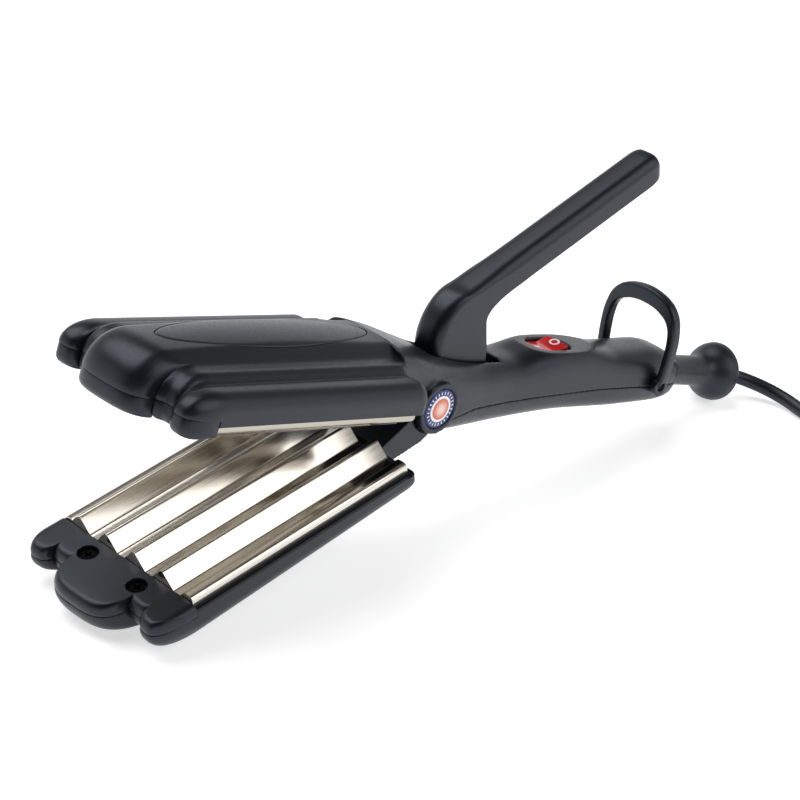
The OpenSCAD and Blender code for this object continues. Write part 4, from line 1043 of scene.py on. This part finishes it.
def lathe(name, line, put, look):
    """A turned piece about the X axis, bored through, from (radius, place) pairs."""
    a = around(96)
    rings = [np.stack([np.full(96, x), r * np.cos(a), r * np.sin(a)], -1) for r, x in line]
    points, faces = skin(rings + [rings[0]], ends=False)
    return piece(name, put(points), faces, look, sharp=40)


KNOB_R, KNOB_T, NECK_R, MOUTH_R = 12.6, 12.5, 6.4, 16
back = KNOB_X + KNOB_T / 2
bore = CORD_R + 0.15
neck = [(bore, -11), (5, -11), (5, -8.8), (6.6, -8.8), (6.6, -5.2), (5, -5.2), (5, 0.5), (6.4, 0.5),
        (6.6, 0.7), (6.6, 1.4), (6.45, 1.9), (NECK_R, 2.2)]
flare = [(NECK_R, -14), (6.5, -12.6), (6.85, -11.3), (7.5, -10), (8.4, -8.7), (9.5, -7.4), (10.55, -6),
         (11.5, -4.4), (12.2, -2.6), (KNOB_R, 0)]
neck += [(r, KNOB_X + x) for r, x in flare[:-1]]
knob = [(KNOB_R * math.cos(t), KNOB_X + KNOB_T / 2 * math.sin(t)) for t in np.radians(np.arange(0, 69, 4))]
mouth = [(bore + MOUTH_R - math.sqrt(MOUTH_R**2 - u * u), back - 10 + u) for u in np.linspace(9.8, 0, 9)]
swivel = lathe("swivel_knob", neck + knob + mouth, on_swivel, soft_pvc)
finish_piece(swivel, "cord_swivel", "cord_rubber", "cord_swivel")

# ---------- solids that show as they are ----------
LOOKS = {
    "upper_plate_frame": glass_filled_nylon, "lower_plate_frame": glass_filled_nylon,
    "upper_heater": zinc_steel, "lower_heater": zinc_steel,
    "upper_insulation": mica_sheet, "lower_insulation": mica_sheet,
    "upper_thermal_fuse": zinc_steel, "lower_thermal_fuse": zinc_steel,
    "upper_nose_screws": black_steel, "lower_nose_screws": black_steel,
    "handle_screws": zinc_steel, "pivot_pin": zinc_steel, "torsion_spring": zinc_steel,
    "switch_body": glass_filled_nylon, "circuit_board": board_laminate, "cord_anchor": glass_filled_nylon,
    "loop_pins": black_steel, "lever_tip_stud": black_abs, "plug_blades": zinc_steel,
}
for node, look in LOOKS.items():
    obj = frame["nodes"][node]
    obj.data.materials.clear()
    obj.data.materials.append(look)


# ---------- studio ----------
def white_floor():
    """Matt paper, lit a little from within so that it reads white under soft light. Its fibres are drawn
    as faint patches about 17 mm across, far coarser than real ones."""
    made, tree = material("pale_paper_sweep")
    at = add(tree, "TexCoord").outputs["Object"]
    fibre = add(tree, "TexNoise", Vector=at, Scale=60.0, Detail=4.0)
    colour = add(tree, "MixRGB", Fac=fibre.outputs["Fac"], Color1=linear("#f4f4f4"),
                 Color2=linear("#f7f7f7"))
    paper = add(tree, "BsdfPrincipled", Base_Color=colour.outputs[0], Roughness=0.9,
                Emission_Color=linear("#ffffff"), Emission_Strength=0.6)
    add(tree, "OutputMaterial", Surface=paper.outputs[0])
    return made


FLOOR_HALF = 9.0
corners = [(x * FLOOR_HALF, y * FLOOR_HALF, 0) for x, y in ((-1, -1), (1, -1), (1, 1), (-1, 1))]
floor = piece("floor", corners, [(0, 1, 2, 3)], white_floor())


def broad_light(name, way, strength, spread):
    """A large soft source far off, in the direction way, as wide as spread."""
    data = bpy.data.lights.new(name, "SUN")
    data.energy = strength
    data.angle = math.radians(spread)
    lamp = bpy.data.objects.new(name, data)
    lamp.rotation_mode = "QUATERNION"
    lamp.rotation_quaternion = Vector(way).to_track_quat("Z", "Y")
    bpy.context.scene.collection.objects.link(lamp)


broad_light("overhead", (-0.14, 0.45, 0.88), 1.8, 52)
broad_light("near_side", (0.36, -0.7, 0.61), 0.85, 44)


def studio_walls():
    """White walls, bright low down and darker above, with a black screen where the viewer stands."""
    world = bpy.data.worlds.new("studio_walls")
    world.use_nodes = True
    tree = world.node_tree
    way = add(tree, "TexCoord").outputs["Generated"]
    height = add(tree, "SeparateXYZ", Vector=way)
    low = add(tree, "MapRange", {"interpolation_type": "SMOOTHSTEP"}, Value=height.outputs["Z"],
              From_Min=0.2, From_Max=0.6, To_Min=0.95, To_Max=0.1)
    facing = add(tree, "VectorMath", {"operation": "DOT_PRODUCT"}, Vector=way)
    facing.inputs[1].default_value = (-0.678, -0.592, 0.3)
    screen = add(tree, "MapRange", {"interpolation_type": "SMOOTHSTEP"}, Value=facing.outputs["Value"],
                 From_Min=0.3, From_Max=0.75, To_Min=1.0, To_Max=0.05)
    light = add(tree, "Math", {"operation": "MULTIPLY"})
    tree.links.new(low.outputs[0], light.inputs[0])
    tree.links.new(screen.outputs[0], light.inputs[1])
    tree.links.new(light.outputs[0], tree.nodes["Background"].inputs["Strength"])
    tree.nodes["Background"].inputs["Color"].default_value = linear("#ffffff")
    return world


bpy.context.scene.world = studio_walls()
bpy.context.scene.view_settings.view_transform = "Standard"
